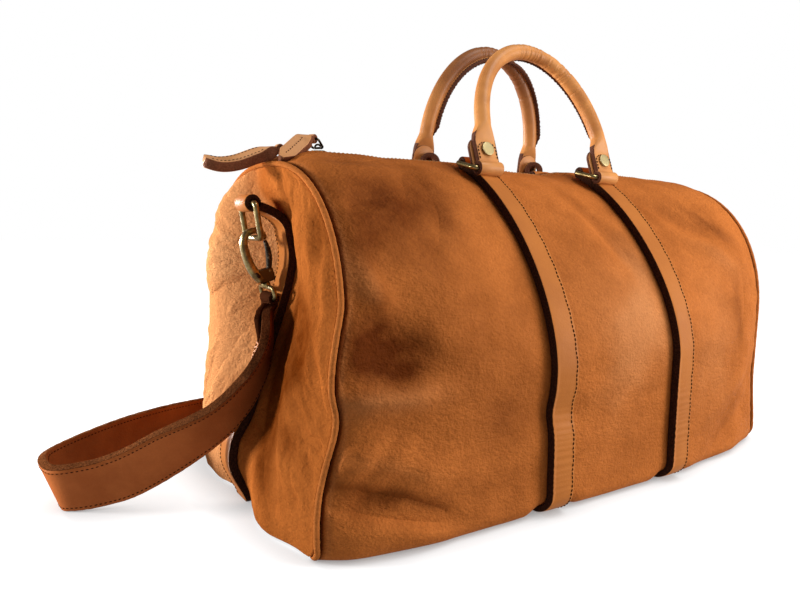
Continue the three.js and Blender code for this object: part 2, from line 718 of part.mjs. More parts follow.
function hookGate(end) {
  const frame = hookFrame(end);
  const bar = hookBar(frame, [GATE_PIVOT, GATE_TIP], GATE_HALF_WIDE, GATE_HALF_DEEP);
  const knuckle = hookPin(frame, KNUCKLE, GATE_HALF_DEEP);
  return cut(join(bar, knuckle), hookPin(frame, PIN + GAP, GATE_HALF_DEEP + 1));
}

// The swivel: a post in the hook's block, a collar under it and the eye that holds the strap.
function hookSwivel(end) {
  const frame = hookFrame(end);
  const collarTop = BLOCK.foot - GAP;
  const eyeTop = collarTop - COLLAR.tall;
  const eyeFoot = -frame.length;
  const centre = frame.at({ a: 0, b: (eyeTop + eyeFoot) / 2 });
  const eye = wireFrame(
    centre, Y_AXIS, frame.up, EYE_HALF_WIDE, (eyeTop - eyeFoot) / 2, EYE_CORNER, EYE_WIRE);
  const post = hookStub(frame, POST, BLOCK.foot + POST_REACH, eyeTop);
  return join(hookStub(frame, COLLAR.radius, collarTop, eyeTop), post, eye);
}

// The shoulder strap stands on edge round the back of the bag and twists up to each hook.
function shoulderStrap() {
  const curve = new THREE.CatmullRomCurve3(SLING_ROUTE.map(({ x, y, z }) => point(x, y, z)));
  curve.arcLengthDivisions = 600;
  const length = curve.getLength();
  const rings = steps(0, 1, SLING_STEPS).map((u) => {
    const place = curve.getUtoTmapping(u) * (SLING_ROUTE.length - 1);
    const row = Math.min(Math.floor(place), SLING_ROUTE.length - 2);
    const [here, next] = [SLING_ROUTE[row], SLING_ROUTE[row + 1]];
    const upright = mix(here.upright, next.upright, place - row);
    const lean = mix(here.lean, next.lean, place - row);
    const run = curve.getTangentAt(u);
    const wide = point(0, upright - 1, -upright);
    wide.addScaledVector(run, -wide.dot(run)).normalize();
    wide.addScaledVector(run.clone().cross(wide), -lean).normalize();
    const fromEnd = Math.min(u, 1 - u) * length;
    const full = THREE.MathUtils.smoothstep(fromEnd, SLING_TAPER.from, SLING_TAPER.to);
    const halfWide = mix(SLING_END_HALF_WIDE, SLING_HALF_WIDE, full);
    return slat(curve.getPointAt(u), wide, run.clone().cross(wide), halfWide, SLING_HALF_THICK);
  });
  const loops = ENDS.map((end) => (
    loop(onEnd(end, EYE_BAR), Y_AXIS, EYE_BORE, EYE_BORE + SLING_HALF_THICK, SLING_END_HALF_WIDE)));
  return join(sweep(rings), ...loops);
}

// A rolled handle in its own plane: flat tabs at the rings, rolling up into a round grip.
function handle(reach, rise, sway) {
  const half = [
    ...[LOOP_BORE + LOOP_BITE, TAB_TOP, ARCH_FROM].map((z) => ({ x: reach, z })),
    ...steps(GRIP_ANGLES.from, GRIP_ANGLES.to, GRIP_ANGLES.count).map(radians).map((angle) => ({
      x: reach * Math.cos(angle),
      z: ARCH_FROM + (rise - ARCH_FROM) * Math.sin(angle),
    })),
  ];
  const leg = (side) => half.map(({ x, z }) => (
    point(side * x + sway * THREE.MathUtils.smoothstep(z, TAB_TOP, 2 * TAB_TOP), 0, z)));
  const path = [...leg(-1), ...leg(1).reverse()];
  const grip = sweep(path.map((spot, i) => {
    const ahead = path[Math.min(i + 1, path.length - 1)];
    const behind = path[Math.max(i - 1, 0)];
    const wide = ahead.clone().sub(behind).normalize().cross(Y_AXIS);
    const rolled = THREE.MathUtils.smoothstep(spot.z, TAB_TOP, ROLLED_BY);
    const halfWide = mix(TAB_HALF_WIDE, HANDLE_RADIUS, rolled);
    const halfThick = mix(TAB_HALF_THICK, HANDLE_RADIUS, rolled);
    return oval(spot, wide, Y_AXIS, halfWide, halfThick, mix(TAB_SQUARE, 2, rolled), 8);
  }));
  const loops = [-1, 1].map((side) => (
    loop(point(side * reach, 0, 0), X_AXIS, LOOP_BORE, LOOP_RADIUS, TAB_HALF_WIDE)));
  return [-1, 1].reduce((piece, side) => {
    const hole = new THREE.CylinderGeometry(RIVET_SHANK + GAP, RIVET_SHANK + GAP, 2 * TAB_HALF_WIDE, 8);
    return cut(piece, hole.translate(side * reach, 0, RIVET_AT));
  }, join(grip, ...loops));
}

// A rivet through a handle's tab: domed head outside, washer inside.
function rivet() {
  const face = TAB_HALF_THICK + GAP;
  const profile = [
    [0, -face - RIVET_DOME], [RIVET_HEAD * 0.7, -face - RIVET_DOME * 0.8],
    [RIVET_HEAD, -face - RIVET_DOME * 0.25], [RIVET_HEAD, -face],
    [RIVET_SHANK, -face], [RIVET_SHANK, face], [RIVET_HEAD - RIVET_WASHER, face],
    [RIVET_HEAD - RIVET_WASHER, face + RIVET_WASHER], [0, face + RIVET_WASHER],
  ];
  return new THREE.LatheGeometry(profile.map(([r, y]) => new THREE.Vector2(r, y)), 8);
}

// The zip's chain of teeth and the two tapes that carry it, along the crown of the bag.
function zipChain() {
  return sweep(chainStops().map((x) => {
    const top = crownHeight(x, 0) - CHAIN_TOP_SINK;
    return slat(point(x, 0, top - CHAIN_THICK / 2), Y_AXIS, point(0, 0, 1), CHAIN_HALF, CHAIN_THICK / 2);
  }));
}

function chainStops() {
  return [-CHAIN_END_X, ...COLUMNS.filter((x) => Math.abs(x) < CHAIN_END_X - CHAIN_HALF), CHAIN_END_X];
}

function zipTape(side) {
  const places = [CHAIN_HALF + GAP, TAPE_REACH];
  const layer = (sink) => [-TAPE_END_X, ...chainStops(), TAPE_END_X].map((x) => (
    places.map((y) => point(x, side * y, crownHeight(x, y) - sink))));
  return wall(layer(TAPE_SINK), layer(TAPE_SINK + TAPE_THICK));
}

// A leather tab over each end of the zip.
function zipEndTab(end) {
  const parts = mirrored([ZIP_TAB.slot, ZIP_HALF + 1, ZIP_TAB.reach]);
  const layer = (height) => [ZIP_TAB.from, SEAM_X - ZIP_TAB.clear].map((x) => (
    parts.map((y) => point(end.side * x, y, crownHeight(end.side * x, y) + height))));
  return wall(layer(GAP + ZIP_TAB.thick), layer(GAP));
}

// A slider: a plate over the chain with cheeks down both sides, and a bridge for the link.
function slider() {
  const box = (halfLong, halfWide, foot, top, y) => (
    new THREE.BoxGeometry(2 * halfLong, 2 * halfWide, top - foot).translate(0, y, (top + foot) / 2));
  const plate = box(PLATE.halfLong, PLATE.halfWide, PLATE.foot, PLATE.top, 0);
  const cheekHalf = (PLATE.halfWide - CHAIN_HALF - GAP) / 2;
  const cheeks = [-1, 1].map((side) => (
    box(PLATE.halfLong, cheekHalf, -TAPE_SINK + GAP, PLATE.top, side * (PLATE.halfWide - cheekHalf))));
  const hole = new THREE.CylinderGeometry(BRIDGE.bore, BRIDGE.bore, 4, 10);
  const arch = new THREE.CylinderGeometry(BRIDGE.radius, BRIDGE.radius, 2 * BRIDGE.halfThick, 12);
  const bridge = cut(arch.translate(0, 0, BRIDGE.lift), hole.translate(0, 0, BRIDGE.lift));
  return join(plate, ...cheeks, bridge);
}

// A link from the slider's bridge to the pull, in a group that points away along -X.
function link() {
  return wireFrame(
    point(-LINK_LENGTH / 2, 0, 0), X_AXIS, Y_AXIS, LINK_LENGTH / 2, LINK_HALF_WIDE, LINK_CORNER, LINK_WIRE);
}

// A folded leather pull: a neck round the link, widening to a tab with a rounded tip.
function pull(route) {
  const curve = new THREE.CatmullRomCurve3(route.map(({ run, rise }) => point(-run, 0, rise)));
  const length = curve.getLength();
  const first = (LINK_WIRE + 1.5 * LOOP_BITE) / length;
  const rings = steps(first, 1, 10).map((u) => {
    const place = curve.getPointAt(u);
    const run = curve.getTangentAt(u);
    const toTip = (1 - u) * length;
    const neck = THREE.MathUtils.smoothstep(u * length, NECK.from, NECK.to);
    const tip = mix(PULL_TIP.blunt, 1, Math.sqrt(Math.min(1, toTip / PULL_TIP.round)));
    const halfWide = mix(PULL_NECK, PULL_HALF_WIDE, neck) * tip;
    return slat(place, Y_AXIS, run.clone().cross(Y_AXIS), halfWide, PULL_HALF_THICK);
  });
  return join(sweep(rings), loop(point(0, 0, 0), Y_AXIS, LINK_WIRE + 0.5, PULL_LOOP, PULL_NECK));
}

const bag = new THREE.Group();

function add(name, geometry, material, parent = bag) {
  const mesh = new THREE.Mesh(geometry, material);
  mesh.name = name;
  parent.add(mesh);
  return mesh;
}

function group(parent, place, turn) {
  const made = new THREE.Group();
  made.position.copy(place);
  made.rotation.set(turn.x ?? 0, turn.y ?? 0, turn.z ?? 0, "ZYX");
  parent.add(made);
  return made;
}

add("front_panel", longPanel(-1), LEATHER);
add("back_panel", longPanel(1), LEATHER);
add("base_panel", basePanel(), LEATHER);

for (const end of ENDS) {
  add(`${end.name}_end_panel`, endPanel(end), LEATHER);
  add(`${end.name}_piping`, piping(end), LEATHER);
  add(`${end.name}_end_strap`, endStrap(end), STRAP_LEATHER);
  add(`${end.name}_end_ring`, endRing(end), BRASS);
  add(`${end.name}_hook_body`, hookBody(end), BRASS);
  add(`${end.name}_hook_gate`, hookGate(end), BRASS);
  add(`${end.name}_hook_swivel`, hookSwivel(end), BRASS);
  add(`${end.name}_zip_tab`, zipEndTab(end), LEATHER);
  add(`${end.name}_body_strap`, bodyStrap(STRAPS[end.name]), STRAP_LEATHER);
}
add("shoulder_strap", shoulderStrap(), SLING_LEATHER);

for (const { name, side, lean, rise, sway } of HANDLES) {
  const feet = [STRAPS.left, STRAPS.right].map((strap) => barPlaces(side, strap).outer);
  const middle = feet[0].clone().add(feet[1]).divideScalar(2);
  const reach = (feet[1].x - feet[0].x) / 2;
  const turned = group(bag, middle, { x: radians(side * lean) });
  const facing = group(turned, point(0, 0, 0), { z: side < 0 ? 0 : Math.PI });
  add(`${name}_handle`, handle(reach, rise, -side * sway), STRAP_LEATHER, facing);
  for (const end of ENDS) {
    add(`${name}_${end.name}_ring`, handleRing(side, STRAPS[end.name]), BRASS);
    const spot = group(facing, point(-side * end.side * reach, 0, RIVET_AT), {});
    add(`${name}_${end.name}_rivet`, rivet(), BRASS, spot);
  }
}

add("zip_chain", zipChain(), BRASS);
add("zip_tape_front", zipTape(-1), ZIP_CLOTH);
add("zip_tape_back", zipTape(1), ZIP_CLOTH);
SLIDERS.forEach(({ x, yaw, tilt, route }, i) => {
  const fall = crownHeight(x - PLATE.halfLong, 0) - crownHeight(x + PLATE.halfLong, 0);
  const pitch = Math.atan(fall / (2 * PLATE.halfLong));
  const seat = group(bag, point(x, 0, crownHeight(x, 0)), { y: pitch });
  add(`zip_slider_${i + 1}`, slider(), BRASS, seat);
  const bore = point(Math.sin(pitch), 0, Math.cos(pitch)).multiplyScalar(BRIDGE.lift).add(seat.position);
  const turned = group(bag, bore, { z: radians(yaw) });
  add(`zip_link_${i + 1}`, link(), BRASS, group(turned, point(0, 0, 0), { y: radians(tilt) }));
  const reach = point(-Math.cos(radians(tilt)), 0, Math.sin(radians(tilt))).multiplyScalar(LINK_LENGTH);
  add(`zip_pull_${i + 1}`, pull(route), STRAP_LEATHER, group(turned, reach, {}));
});

export default bag;
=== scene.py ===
"""A soft leather travel bag, dressed over its solid frame with grain, folds, stitches and brass."""

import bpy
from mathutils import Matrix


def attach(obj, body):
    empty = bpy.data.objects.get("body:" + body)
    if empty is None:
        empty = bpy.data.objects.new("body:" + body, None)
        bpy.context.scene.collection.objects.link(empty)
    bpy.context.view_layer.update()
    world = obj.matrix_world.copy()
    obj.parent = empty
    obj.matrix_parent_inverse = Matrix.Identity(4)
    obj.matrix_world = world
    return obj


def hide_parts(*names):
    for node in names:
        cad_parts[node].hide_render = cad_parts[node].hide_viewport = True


bl_info = {
    "name": "Leather travel bag",
    "version": (1, 0, 0),
    "blender": (4, 5, 0),
    "location": "3D View > Sidebar > Travel bag",
    "description": "Builds a leather travel bag piece by piece over its packed frame",
    "category": "Object",
}

import bpy
import numpy as np
from bpy.props import FloatProperty, FloatVectorProperty, PointerProperty
from mathutils import Matrix

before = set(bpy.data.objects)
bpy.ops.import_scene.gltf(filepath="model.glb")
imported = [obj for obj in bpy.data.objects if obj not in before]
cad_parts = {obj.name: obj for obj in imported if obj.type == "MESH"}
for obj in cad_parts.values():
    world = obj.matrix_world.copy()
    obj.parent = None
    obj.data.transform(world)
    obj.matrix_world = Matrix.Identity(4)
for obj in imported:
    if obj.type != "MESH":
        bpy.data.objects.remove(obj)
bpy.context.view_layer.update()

X_AXIS, Y_AXIS, Z_AXIS = np.eye(3)
ENDS = {-1: "left", 1: "right"}
FACES = {-1: "front", 1: "back"}

# Sizes in millimetres
MM = 0.001
WALL = 2.0
GAP = 0.4
SEAM_X = 240.0
CORNER = 12.0
FLARE_OUT, FLARE_FROM, FLARE_BELOW = 9.0, 190.0, 75.0
PIPE_RADIUS, PIPE_SINK, PIPE_UNTIL = 2.2, 1.0, 2.97
ZIP_HALF = 7.0
STRAP_X = 71.0
STRAP_WIDE, STRAP_THICK = 22.0, 5.0
STRAP_SEAT = 1.5 * GAP
STITCH_OUT = 8.4
STRAP_LIFT = STRAP_SEAT + STRAP_THICK + GAP
LIFT_RAMP = 18.0
DRIFT = {-1: 10.0, 1: 3.0}
WIRE, LOOP_BORE, LOOP_RADIUS, LOOP_CLEAR = 2.25, 2.85, 5.5, 1.2
RING_HALF_WIDE, RING_CORNER = 15.75, 4.0
INNER_BAR_Y, OUTER_BAR_Y = 31.0, 50.0
GRIP_RADIUS = 6.75
TAB_HALF_WIDE, TAB_HALF_THICK, TAB_TOP = 12.0, 2.6, 22.0
ROLLED_BY, ARCH_FROM = 40.0, 30.0
FIN_FROM, FIN_FULL, FIN_ROOT, FIN_HALF_THICK = 36.0, 50.0, 1.2, 1.5
ROLL_BORE, ROLL_RADIUS, ROLL_HALF_WIDE = 4.4, 9.4, 7.0
RIVET_AT, RIVET_HEAD, SHANK, WASHER = 16.0, 5.0, 1.9, 4.1
TIP = 0.02
SLING_HALF_WIDE, SLING_END_HALF_WIDE, SLING_HALF_THICK = 20.0, 9.6, 2.3
SLING_TAPER_FROM, SLING_TAPER_TO = 4.0, 42.0
SLING_STITCH_IN, SLING_STITCH_FROM = 3.2, 40.0
TAIL_FROM, TAIL_TO, TAIL_THICK = 3.0, 30.0, 4.2
EYE_WIRE, EYE_BORE, EYE_HALF_WIDE, EYE_CORNER = 1.8, 2.3, 13.4, 3.0
CHAIN_HALF, CHAIN_SINK, CHAIN_THICK = 2.8, 1.0, 2.6
TAPE_SINK, TAPE_REACH, TAPE_THICK = WALL + GAP + 0.8, 11.0, 1.0
CHAIN_END_X, TAPE_END_X = 228.0, 234.0
COVER_FROM_X, COVER_HALF, COVER_THICK = 233.0, 13.0, 1.6
TEETH, TOOTH_HALF_LONG, TOOTH_HALF_WIDE, TOOTH_OUT = 360, 0.55, 2.1, 0.6
ZIP_STITCH_OUT, ZIP_STITCH_END_X = 4.0, 226.0
GROOVE_FLAT = 13.0
END_FACE = SEAM_X + GAP + PIPE_RADIUS + WALL / 2
END_INSET = PIPE_SINK + PIPE_RADIUS + GAP

# Stitches: pitch, length and radius
STRAP_STITCH, END_STRAP_STITCH = (3.3, 2.9, 0.5), (3.3, 2.8, 0.5)
GRIP_STITCH, SLING_STITCH = (3.0, 2.3, 0.42), (3.4, 2.3, 0.42)
PULL_STITCH, ZIP_STITCH = (3.0, 2.1, 0.36), (3.8, 2.6, 0.4)

# Grid of each long panel: columns, shoulder rows and side rows
PANEL_GRID = {-1: (281, 104, 60), 1: (201, 80, 44)}


def table(columns, *rows):
    """Named columns of a short table, each as an array."""
    return dict(zip(columns.split(), np.array(rows, float).T))


def spots(*rows):
    """A table of soft spots: middle, half length and width, depth, and the long axis's slope in degrees."""
    return table("u v long wide depth slope", *rows)


SECTIONS = table(
    "x half waist top shoulder foot",
    (-240, 128, 130, 260, 2.4, 116),
    (-222, 135, 125, 268, 2.2, 128),
    (-180, 143, 118, 271, 1.95, 135),
    (-71, 147, 110, 271, 1.6, 136),
    (0, 149, 110, 272, 1.65, 137),
    (71, 147, 110, 271, 1.6, 136),
    (180, 138, 118, 271, 1.95, 126),
    (222, 125, 125, 268, 2.1, 113),
    (240, 117, 130, 264, 2.2, 105),
)

# Hollows (depth over 0) and ridges of the long panels, at x and z
DENTS = {
    -1: spots(
        (-206, 142, 34, 24, 9, 80),
        (-222, 172, 30, 11, -5, -48),
        (-212, 104, 34, 11, -5, 4),
        (-214, 46, 34, 10, 6, 46),
        (-214, 232, 20, 8, 4, 14),
        (-68, 80, 34, 13, 4, 0),
        (0, 150, 46, 34, -3, 0),
        (138, 226, 36, 13, 7, -38),
        (158, 198, 34, 12, -4, -38),
        (172, 30, 46, 10, 5, 26),
    ),
    1: spots(
        (-190, 150, 40, 22, 7, 70),
        (-130, 60, 38, 14, 4, 20),
        (0, 150, 46, 34, -3, 0),
        (150, 210, 36, 14, 6, 35),
        (196, 110, 34, 20, 6, 80),
    ),
}
DENT_FADE = 20.0

# Finer folds that only the leather's surface shows
CREASES = {
    -1: spots(
        (-218, 130, 34, 14, 6.5, 0),
        (-221, 150, 20, 24, 5, 0),
        (-212, 105, 28, 6, -4.0, 2),
        (-208, 33, 36, 7, 8.5, -22),
        (-204, 60, 34, 14, -7, -18),
        (-206, 17, 38, 8, -3, -14),
        (-227, 78, 13, 2.4, 1.1, 5),
        (-222, 86, 15, 2.6, 0.8, 8),
        (-219, 60, 20, 6, 4.0, 60),
        (-208, 110, 14, 1.8, 0.5, -3),
        (-163, 226, 34, 14, 5, 68),
        (-206, 254, 34, 4.5, -2.4, 2),
        (-200, 262, 40, 4, 1.6, 2),
        (-154, 66, 18, 2.6, 0.5, 3),
        (-162, 73, 15, 2.2, 0.4, -4),
        (-140, 58, 15, 2.2, 0.4, 6),
        (18, 78, 28, 3, 0.6, 10),
        (28, 84, 20, 2.5, 0.4, 4),
        (26, 206, 36, 11, 4.0, -62),
        (104, 238, 44, 10, 3.5, -28),
        (176, 214, 30, 6, 4.0, -42),
        (190, 196, 30, 9, -3.0, -46),
        (186, 150, 34, 7, 2.4, 78),
        (150, 62, 48, 9, -3.5, 28),
        (176, 50, 40, 7, 3.0, 30),
    ),
    1: spots(
        (-214, 90, 26, 6, 2.4, 24),
        (-205, 200, 24, 6, 2.2, -40),
        (40, 210, 30, 9, 2.0, 60),
        (205, 60, 30, 7, 2.6, -30),
        (120, 80, 26, 3, 0.6, 8),
    ),
}

# End panels: how far they puff out at each height, and how deep the strap pulls them in
END_FOLDS = table(
    "z bulge groove",
    (0, 13, 0),
    (45, 22, 0),
    (68, 24, 11),
    (120, 20, 24),
    (183, 19, 41),
    (215, 18, 35),
    (240, 12, 15),
    (262, 0, 0),
)
SKEW = {-1: 0.28, 1: -0.2}
# How strongly each end's back lobe is painted pale as if lit, with a sheen, and how much more it wrinkles
BACK_SHEEN_AND_WRINKLE = {-1: 1.0, 1: 0.35}
END_CREASES = spots(
    (62, 151, 36, 6, 5.0, -28),
    (62, 184, 34, 18, -4.0, -16),
    (96, 146, 26, 7, 4.0, 8),
    (30, 142, 26, 5, 3.2, -68),
    (45, 118, 36, 6, 3.4, -66),
    (60, 96, 34, 6, 2.8, -62),
    (84, 112, 24, 7, 2.5, -30),
    (52, 212, 18, 5, 2.2, 30),
    (80, 208, 22, 6, 2.0, 10),
    (-62, 56, 44, 9, 6.0, 64),
    (-84, 70, 12, 7, 4.0, 20),
    (-104, 77, 24, 4, 2.8, 14),
    (-96, 52, 34, 12, -4.5, 36),
    (-78, 92, 30, 10, -3.5, 62),
    (-30, 232, 20, 6, 3.0, 86),
    (-62, 234, 20, 6, 2.6, 74),
    (24, 236, 18, 6, 2.4, -82),
    (-98, 214, 28, 8, 3.4, 82),
    (-113, 180, 60, 7, -2.6, 86),
    (-84, 160, 54, 9, 3.0, 84),
    (-112, 110, 34, 6, 2.0, 70),
)

# The left front seam swings outward below its middle
SEAM_DRIFT = table(
    "z out",
    (0, 8),
    (14, 9),
    (33, 11.6),
    (49, 12.4),
    (66, 10.2),
    (84, 5.2),
    (95, 4.4),
    (111, 7.6),
    (128, 7),
    (145, 4.4),
    (168, 0),
    (300, 0),
)
CROWN_SAG = 4.5
TUCK = 10.0
SLUMP = 8.0
CURL_FROM_Z = 210.0
CURL_PULL = np.array([230.0, 223.0])
END_LOOP = np.array([257.0, 229.0])
END_RING_FOOT = np.array([252.5, 203.0])
EYE_BAR = np.array([240.0, 157.0])

# Snap hook in its own plane: a points out from the bag, b up from the ring's lower bar
BOW = table(
    "a b wide deep",
    (-8.2, -3.4, 1.9, 2.2),
    (-7.6, 1, 2.2, 2.6),
    (-4.6, 4.4, 2.4, 2.8),
    (0, 5.4, 2.4, 2.8),
    (5, 4.2, 2.6, 2.8),
    (8.6, -1, 2.8, 3.0),
    (9.4, -10, 3.1, 3.2),
    (8.4, -19, 3.5, 3.4),
    (6.6, -25.5, 3.7, 3.7),
    (3.0, -33.0, 3.5, 3.7),
)
GATE_PIVOT = np.array([-5.0, -27.0])
GATE_TIP = np.array([-8.1, -4.0])
GATE_HALF_WIDE, GATE_HALF_DEEP, KNUCKLE = 1.3, 1.8, 2.4
BLOCK_LEFT, BLOCK_RIGHT, BLOCK_TOP, BLOCK_FOOT, BLOCK_DEEP = -7.6, 5.2, -25.0, -35.0, 3.4
CHEEK, CORE_HALF_WIDE, GATE_BOW = 1.2, 2.6, 1.7
SLOT_OUT, SLOT_DOWN, SLOT_DEEP = 5.5, 27.8, 3.6
SLOT_HALF_LONG, SLOT_HALF_WIDE, SLOT_HALF_THICK = 2.6, 1.25, 0.3
POST, COLLAR, COLLAR_TALL = 1.6, 3.6, 3.6

# The shoulder strap's centre line and the direction across it, from its upper to its lower edge
SLING_ROUTE = table(
    "x y z wide_x wide_y wide_z",
    (-240, 0, 153.6, 0, 1, 0),
    (-240.5, -0.5, 147, 0, 1, 0),
    (-243.8, -9, 140, 0.5, 0.86, -0.02),
    (-253.8, -25, 120, 0.42, 0.84, -0.34),
    (-264.8, -22.2, 95.4, 0.57, 0.7, -0.43),
    (-282.5, -16.8, 72.6, 0.58, 0.55, -0.6),
    (-317.2, 1.9, 46.3, 0.21, 0.35, -0.91),
    (-352, 20.3, 25.6, 0.2, 0.26, -0.94),
    (-387, 36, 19.8, 0.26, 0.3, -0.92),
    (-387, 62, 20.4, 0.42, -0.05, -0.9),
    (-351, 95, 23, 0.15, -0.12, -0.98),
    (-304, 126, 24, 0, 0, -1),
    (-245, 152, 22, 0, 0, -1),
    (-150, 168, 20.5, 0, 0, -1),
    (0, 170, 20.5, 0, 0, -1),
    (150, 167, 20.5, 0, 0, -1),
    (232, 152, 20.5, 0, 0, -1),
    (292, 116, 21, 0, 0, -1),
    (312, 72, 30, 0, -0.05, -0.95),
    (304, 32, 56, 0, -0.25, -0.75),
    (280, 10, 86, 0, -0.65, -0.35),
    (257, 2, 116, 0, -0.95, -0.05),
    (245, 0, 137, 0, -1, 0),
    (240.5, 0, 147, 0, -1, 0),
    (240, 0, 153.6, 0, -1, 0),
)

# Handles: lean in degrees, rise and sway; the direction in which each grip's fin points
HANDLES = {-1: (20.0, 118.0, 3.0), 1: (7.0, 122.0, 1.0)}
FINS = {-1: (0.0, 0.75, -0.66), 1: (0.75, -0.5, -0.45)}

# Zip sliders: angles in degrees, the pull's route as reach and height, and its rows of stitches
SLIDERS = {
    1: {"x": -221.0, "yaw": 0.0, "tilt": -4.0, "lean": 19.0, "half_wide": 7.5, "rows": (-1, 1),
        "route": ((0, 0), (9, -2.5), (20, -7), (34, -12.5), (46, -14.5), (58, -13))},
    2: {"x": -199.0, "yaw": 31.0, "tilt": 38.0, "lean": 33.0, "half_wide": 6.6, "rows": (0,),
        "route": ((0, 0), (8, -1), (18, -6.5), (30, -14), (41, -20))},
}
LINK_WIRE, LINK_LENGTH, LINK_HALF_WIDE, LINK_CORNER = 0.9, 10.0, 5.0, 2.0
PULL_NECK, PULL_HALF_THICK, PULL_LOOP = 2.8, 2.3, 3.6
BRIDGE_LIFT, BRIDGE_RADIUS, BRIDGE_WIRE = 3.6, 2.7, 0.8
PLATE_HALF_LONG, PLATE_HALF_WIDE, PLATE_TOP = 5.5, 4.6, 1.6
PLATE_CHEEK_OUT, PLATE_CHEEK_HALF = 3.9, 0.7

# Patches painted into the leather's colour: red-brown painted shade in the long panels' hollows, folds and
# seam banks, and painted shadow on the ends, then pale golden painted highlights
PAINTED_SHADE_PATCHES = spots(
    (-215, 128, 28, 21, 1.1, 0),
    (-215, 146, 17, 24, 0.6, 0),
    (-152, 222, 52, 24, 0.5, 60),
    (-206, 222, 54, 32, 0.95, 30),
    (-228, 160, 70, 12, 0.12, 86),
    (-228, 84, 60, 16, 0.08, 86),
    (-212, 38, 38, 8, 0.8, -24),
    (-226, 60, 26, 9, 0.25, 60),
    (-150, 30, 60, 16, 0.3, 0),
    (-121, 86, 22, 18, 0.45, 0),
    (-160, 130, 40, 30, 0.25, 40),
    (-85, 170, 60, 20, 0.25, 80),
    (30, 208, 50, 14, 0.4, -60),
    (20, 50, 70, 22, 0.1, 6),
    (110, 240, 50, 14, 0.35, -24),
    (180, 218, 34, 10, 0.5, -44),
    (176, 140, 34, 9, 0.35, 84),
    (176, 48, 44, 9, 0.2, 30),
)
# Painted shadow of the shoulder strap and hook, and painted shade in the end's valley
END_PAINTED_SHADOW = spots(
    (-62, 138, 34, 34, 1.3, 90),
    (-44, 104, 44, 24, 0.9, 80),
    (-52, 56, 48, 12, 0.8, 66),
    (-84, 72, 14, 8, 0.5, 20),
    (-40, 222, 26, 14, 0.5, 80),
    (-97, 214, 28, 9, 0.4, 82),
    (-100, 120, 130, 34, 0.34, 90),
)
# Painted highlights: the lit ridges under the front's hollow and a sheen over the front's middle
PAINTED_HIGHLIGHTS = spots(
    (-212, 103, 28, 6, 0.12, 2),
    (-206, 62, 26, 8, 0.06, -18),
    (40, 152, 40, 26, 0.4, 80),
    (130, 110, 60, 30, 0.15, 80),
    (0, 110, 40, 22, 0.3, 80),
)

# Stage: the camera's yaw, pitch and roll in degrees, and lamps with their targets, sides and shares of power
CAMERA_TURN = (32.921, -6.8956, 1.21559)
CAMERA_PLACE = (-0.435284, -0.488556, 0.216466)
CAMERA_LENS, FRAME_WIDE, SENSOR = 668.48, 800.0, 36.0
FLOOR_HALF, FLOOR_DROP, FLOOR_COUNT = 6000.0, 0.2, 13
LAMPS = (
    ("window_left", (-0.68, 1.5, 0.3), (-0.25, 0, 0.13), 0.22, 0.8),
    ("fill_left", (-1.5, 0.55, 0.42), (-0.25, 0, 0.14), 0.22, 0.72),
    ("fill_right", (0.85, -0.9, 0.4), (0.12, -0.1, 0.14), 0.6, 0.37),
    ("top_box", (0.35, -0.55, 1.25), (0.05, 0, 0.1), 0.6, 0.3),
)


def smoothstep(value, low, high):
    """0 below low, 1 above high, and u*u*(3 - 2u) between."""
    u = np.clip((value - low) / (high - low), 0, 1)
    return u * u * (3 - 2 * u)


def mix(a, b, part):
    """Straight blend from a to b."""
    return a + (b - a) * part


def bell(value, middle, width):
    """A soft hump of height one: exp(-((value - middle) / width)^2)."""
    return np.exp(-(((value - middle) / width) ** 2))


def unit(vectors):
    """Vectors scaled to length one along the last axis."""
    return vectors / np.maximum(np.linalg.norm(vectors, axis=-1, keepdims=True), 1e-12)


def along(columns, key, column, place):
    """Cubic Hermite through a table's column, with slopes from the neighbouring rows."""
    keys, values = columns[key], columns[column]
    count = len(keys)
    at = np.clip(place, keys[0], keys[-1])
    i = np.clip(np.searchsorted(keys, at, side="left") - 1, 0, count - 2)
    before = np.maximum(np.arange(count) - 1, 0)
    after = np.minimum(np.arange(count) + 1, count - 1)
    slope = (values[after] - values[before]) / (keys[after] - keys[before])
    span = keys[i + 1] - keys[i]
    u = (at - keys[i]) / span
    ease = (values[i + 1] - values[i]) * u * u * (3 - 2 * u)
    return values[i] + ease + u * (1 - u) ** 2 * span * slope[i] + u * u * (u - 1) * span * slope[i + 1]


def relief(folds, u, v):
    """Sum of depth * exp(-(run/long)^2 - (side/wide)^2) over a table of turned spots."""
    total = np.zeros(np.broadcast(u, v).shape)
    columns = (folds[key] for key in ("u", "v", "long", "wide", "depth", "slope"))
    for at_u, at_v, long, wide, depth, slope in zip(*columns):
        cos, sin = np.cos(np.radians(slope)), np.sin(np.radians(slope))
        run = (u - at_u) * cos + (v - at_v) * sin
        side = (v - at_v) * cos - (u - at_u) * sin
        total = total + depth * np.exp(-((run / long) ** 2) - (side / wide) ** 2)
    return total


def scattered(seed, count, middle, spread, slope, long=11.0, wide=1.6, depth=0.45):
    """A seeded handful of short wrinkles round a place, near one direction."""
    draw = np.random.RandomState(seed)
    return {
        "u": middle[0] + spread[0] * draw.uniform(-1, 1, count),
        "v": middle[1] + spread[1] * draw.uniform(-1, 1, count),
        "long": long * draw.uniform(0.6, 1.4, count),
        "wide": wide * draw.uniform(0.7, 1.4, count),
        "depth": depth * draw.uniform(0.4, 1.2, count),
        "slope": slope + draw.uniform(-28, 28, count),
    }


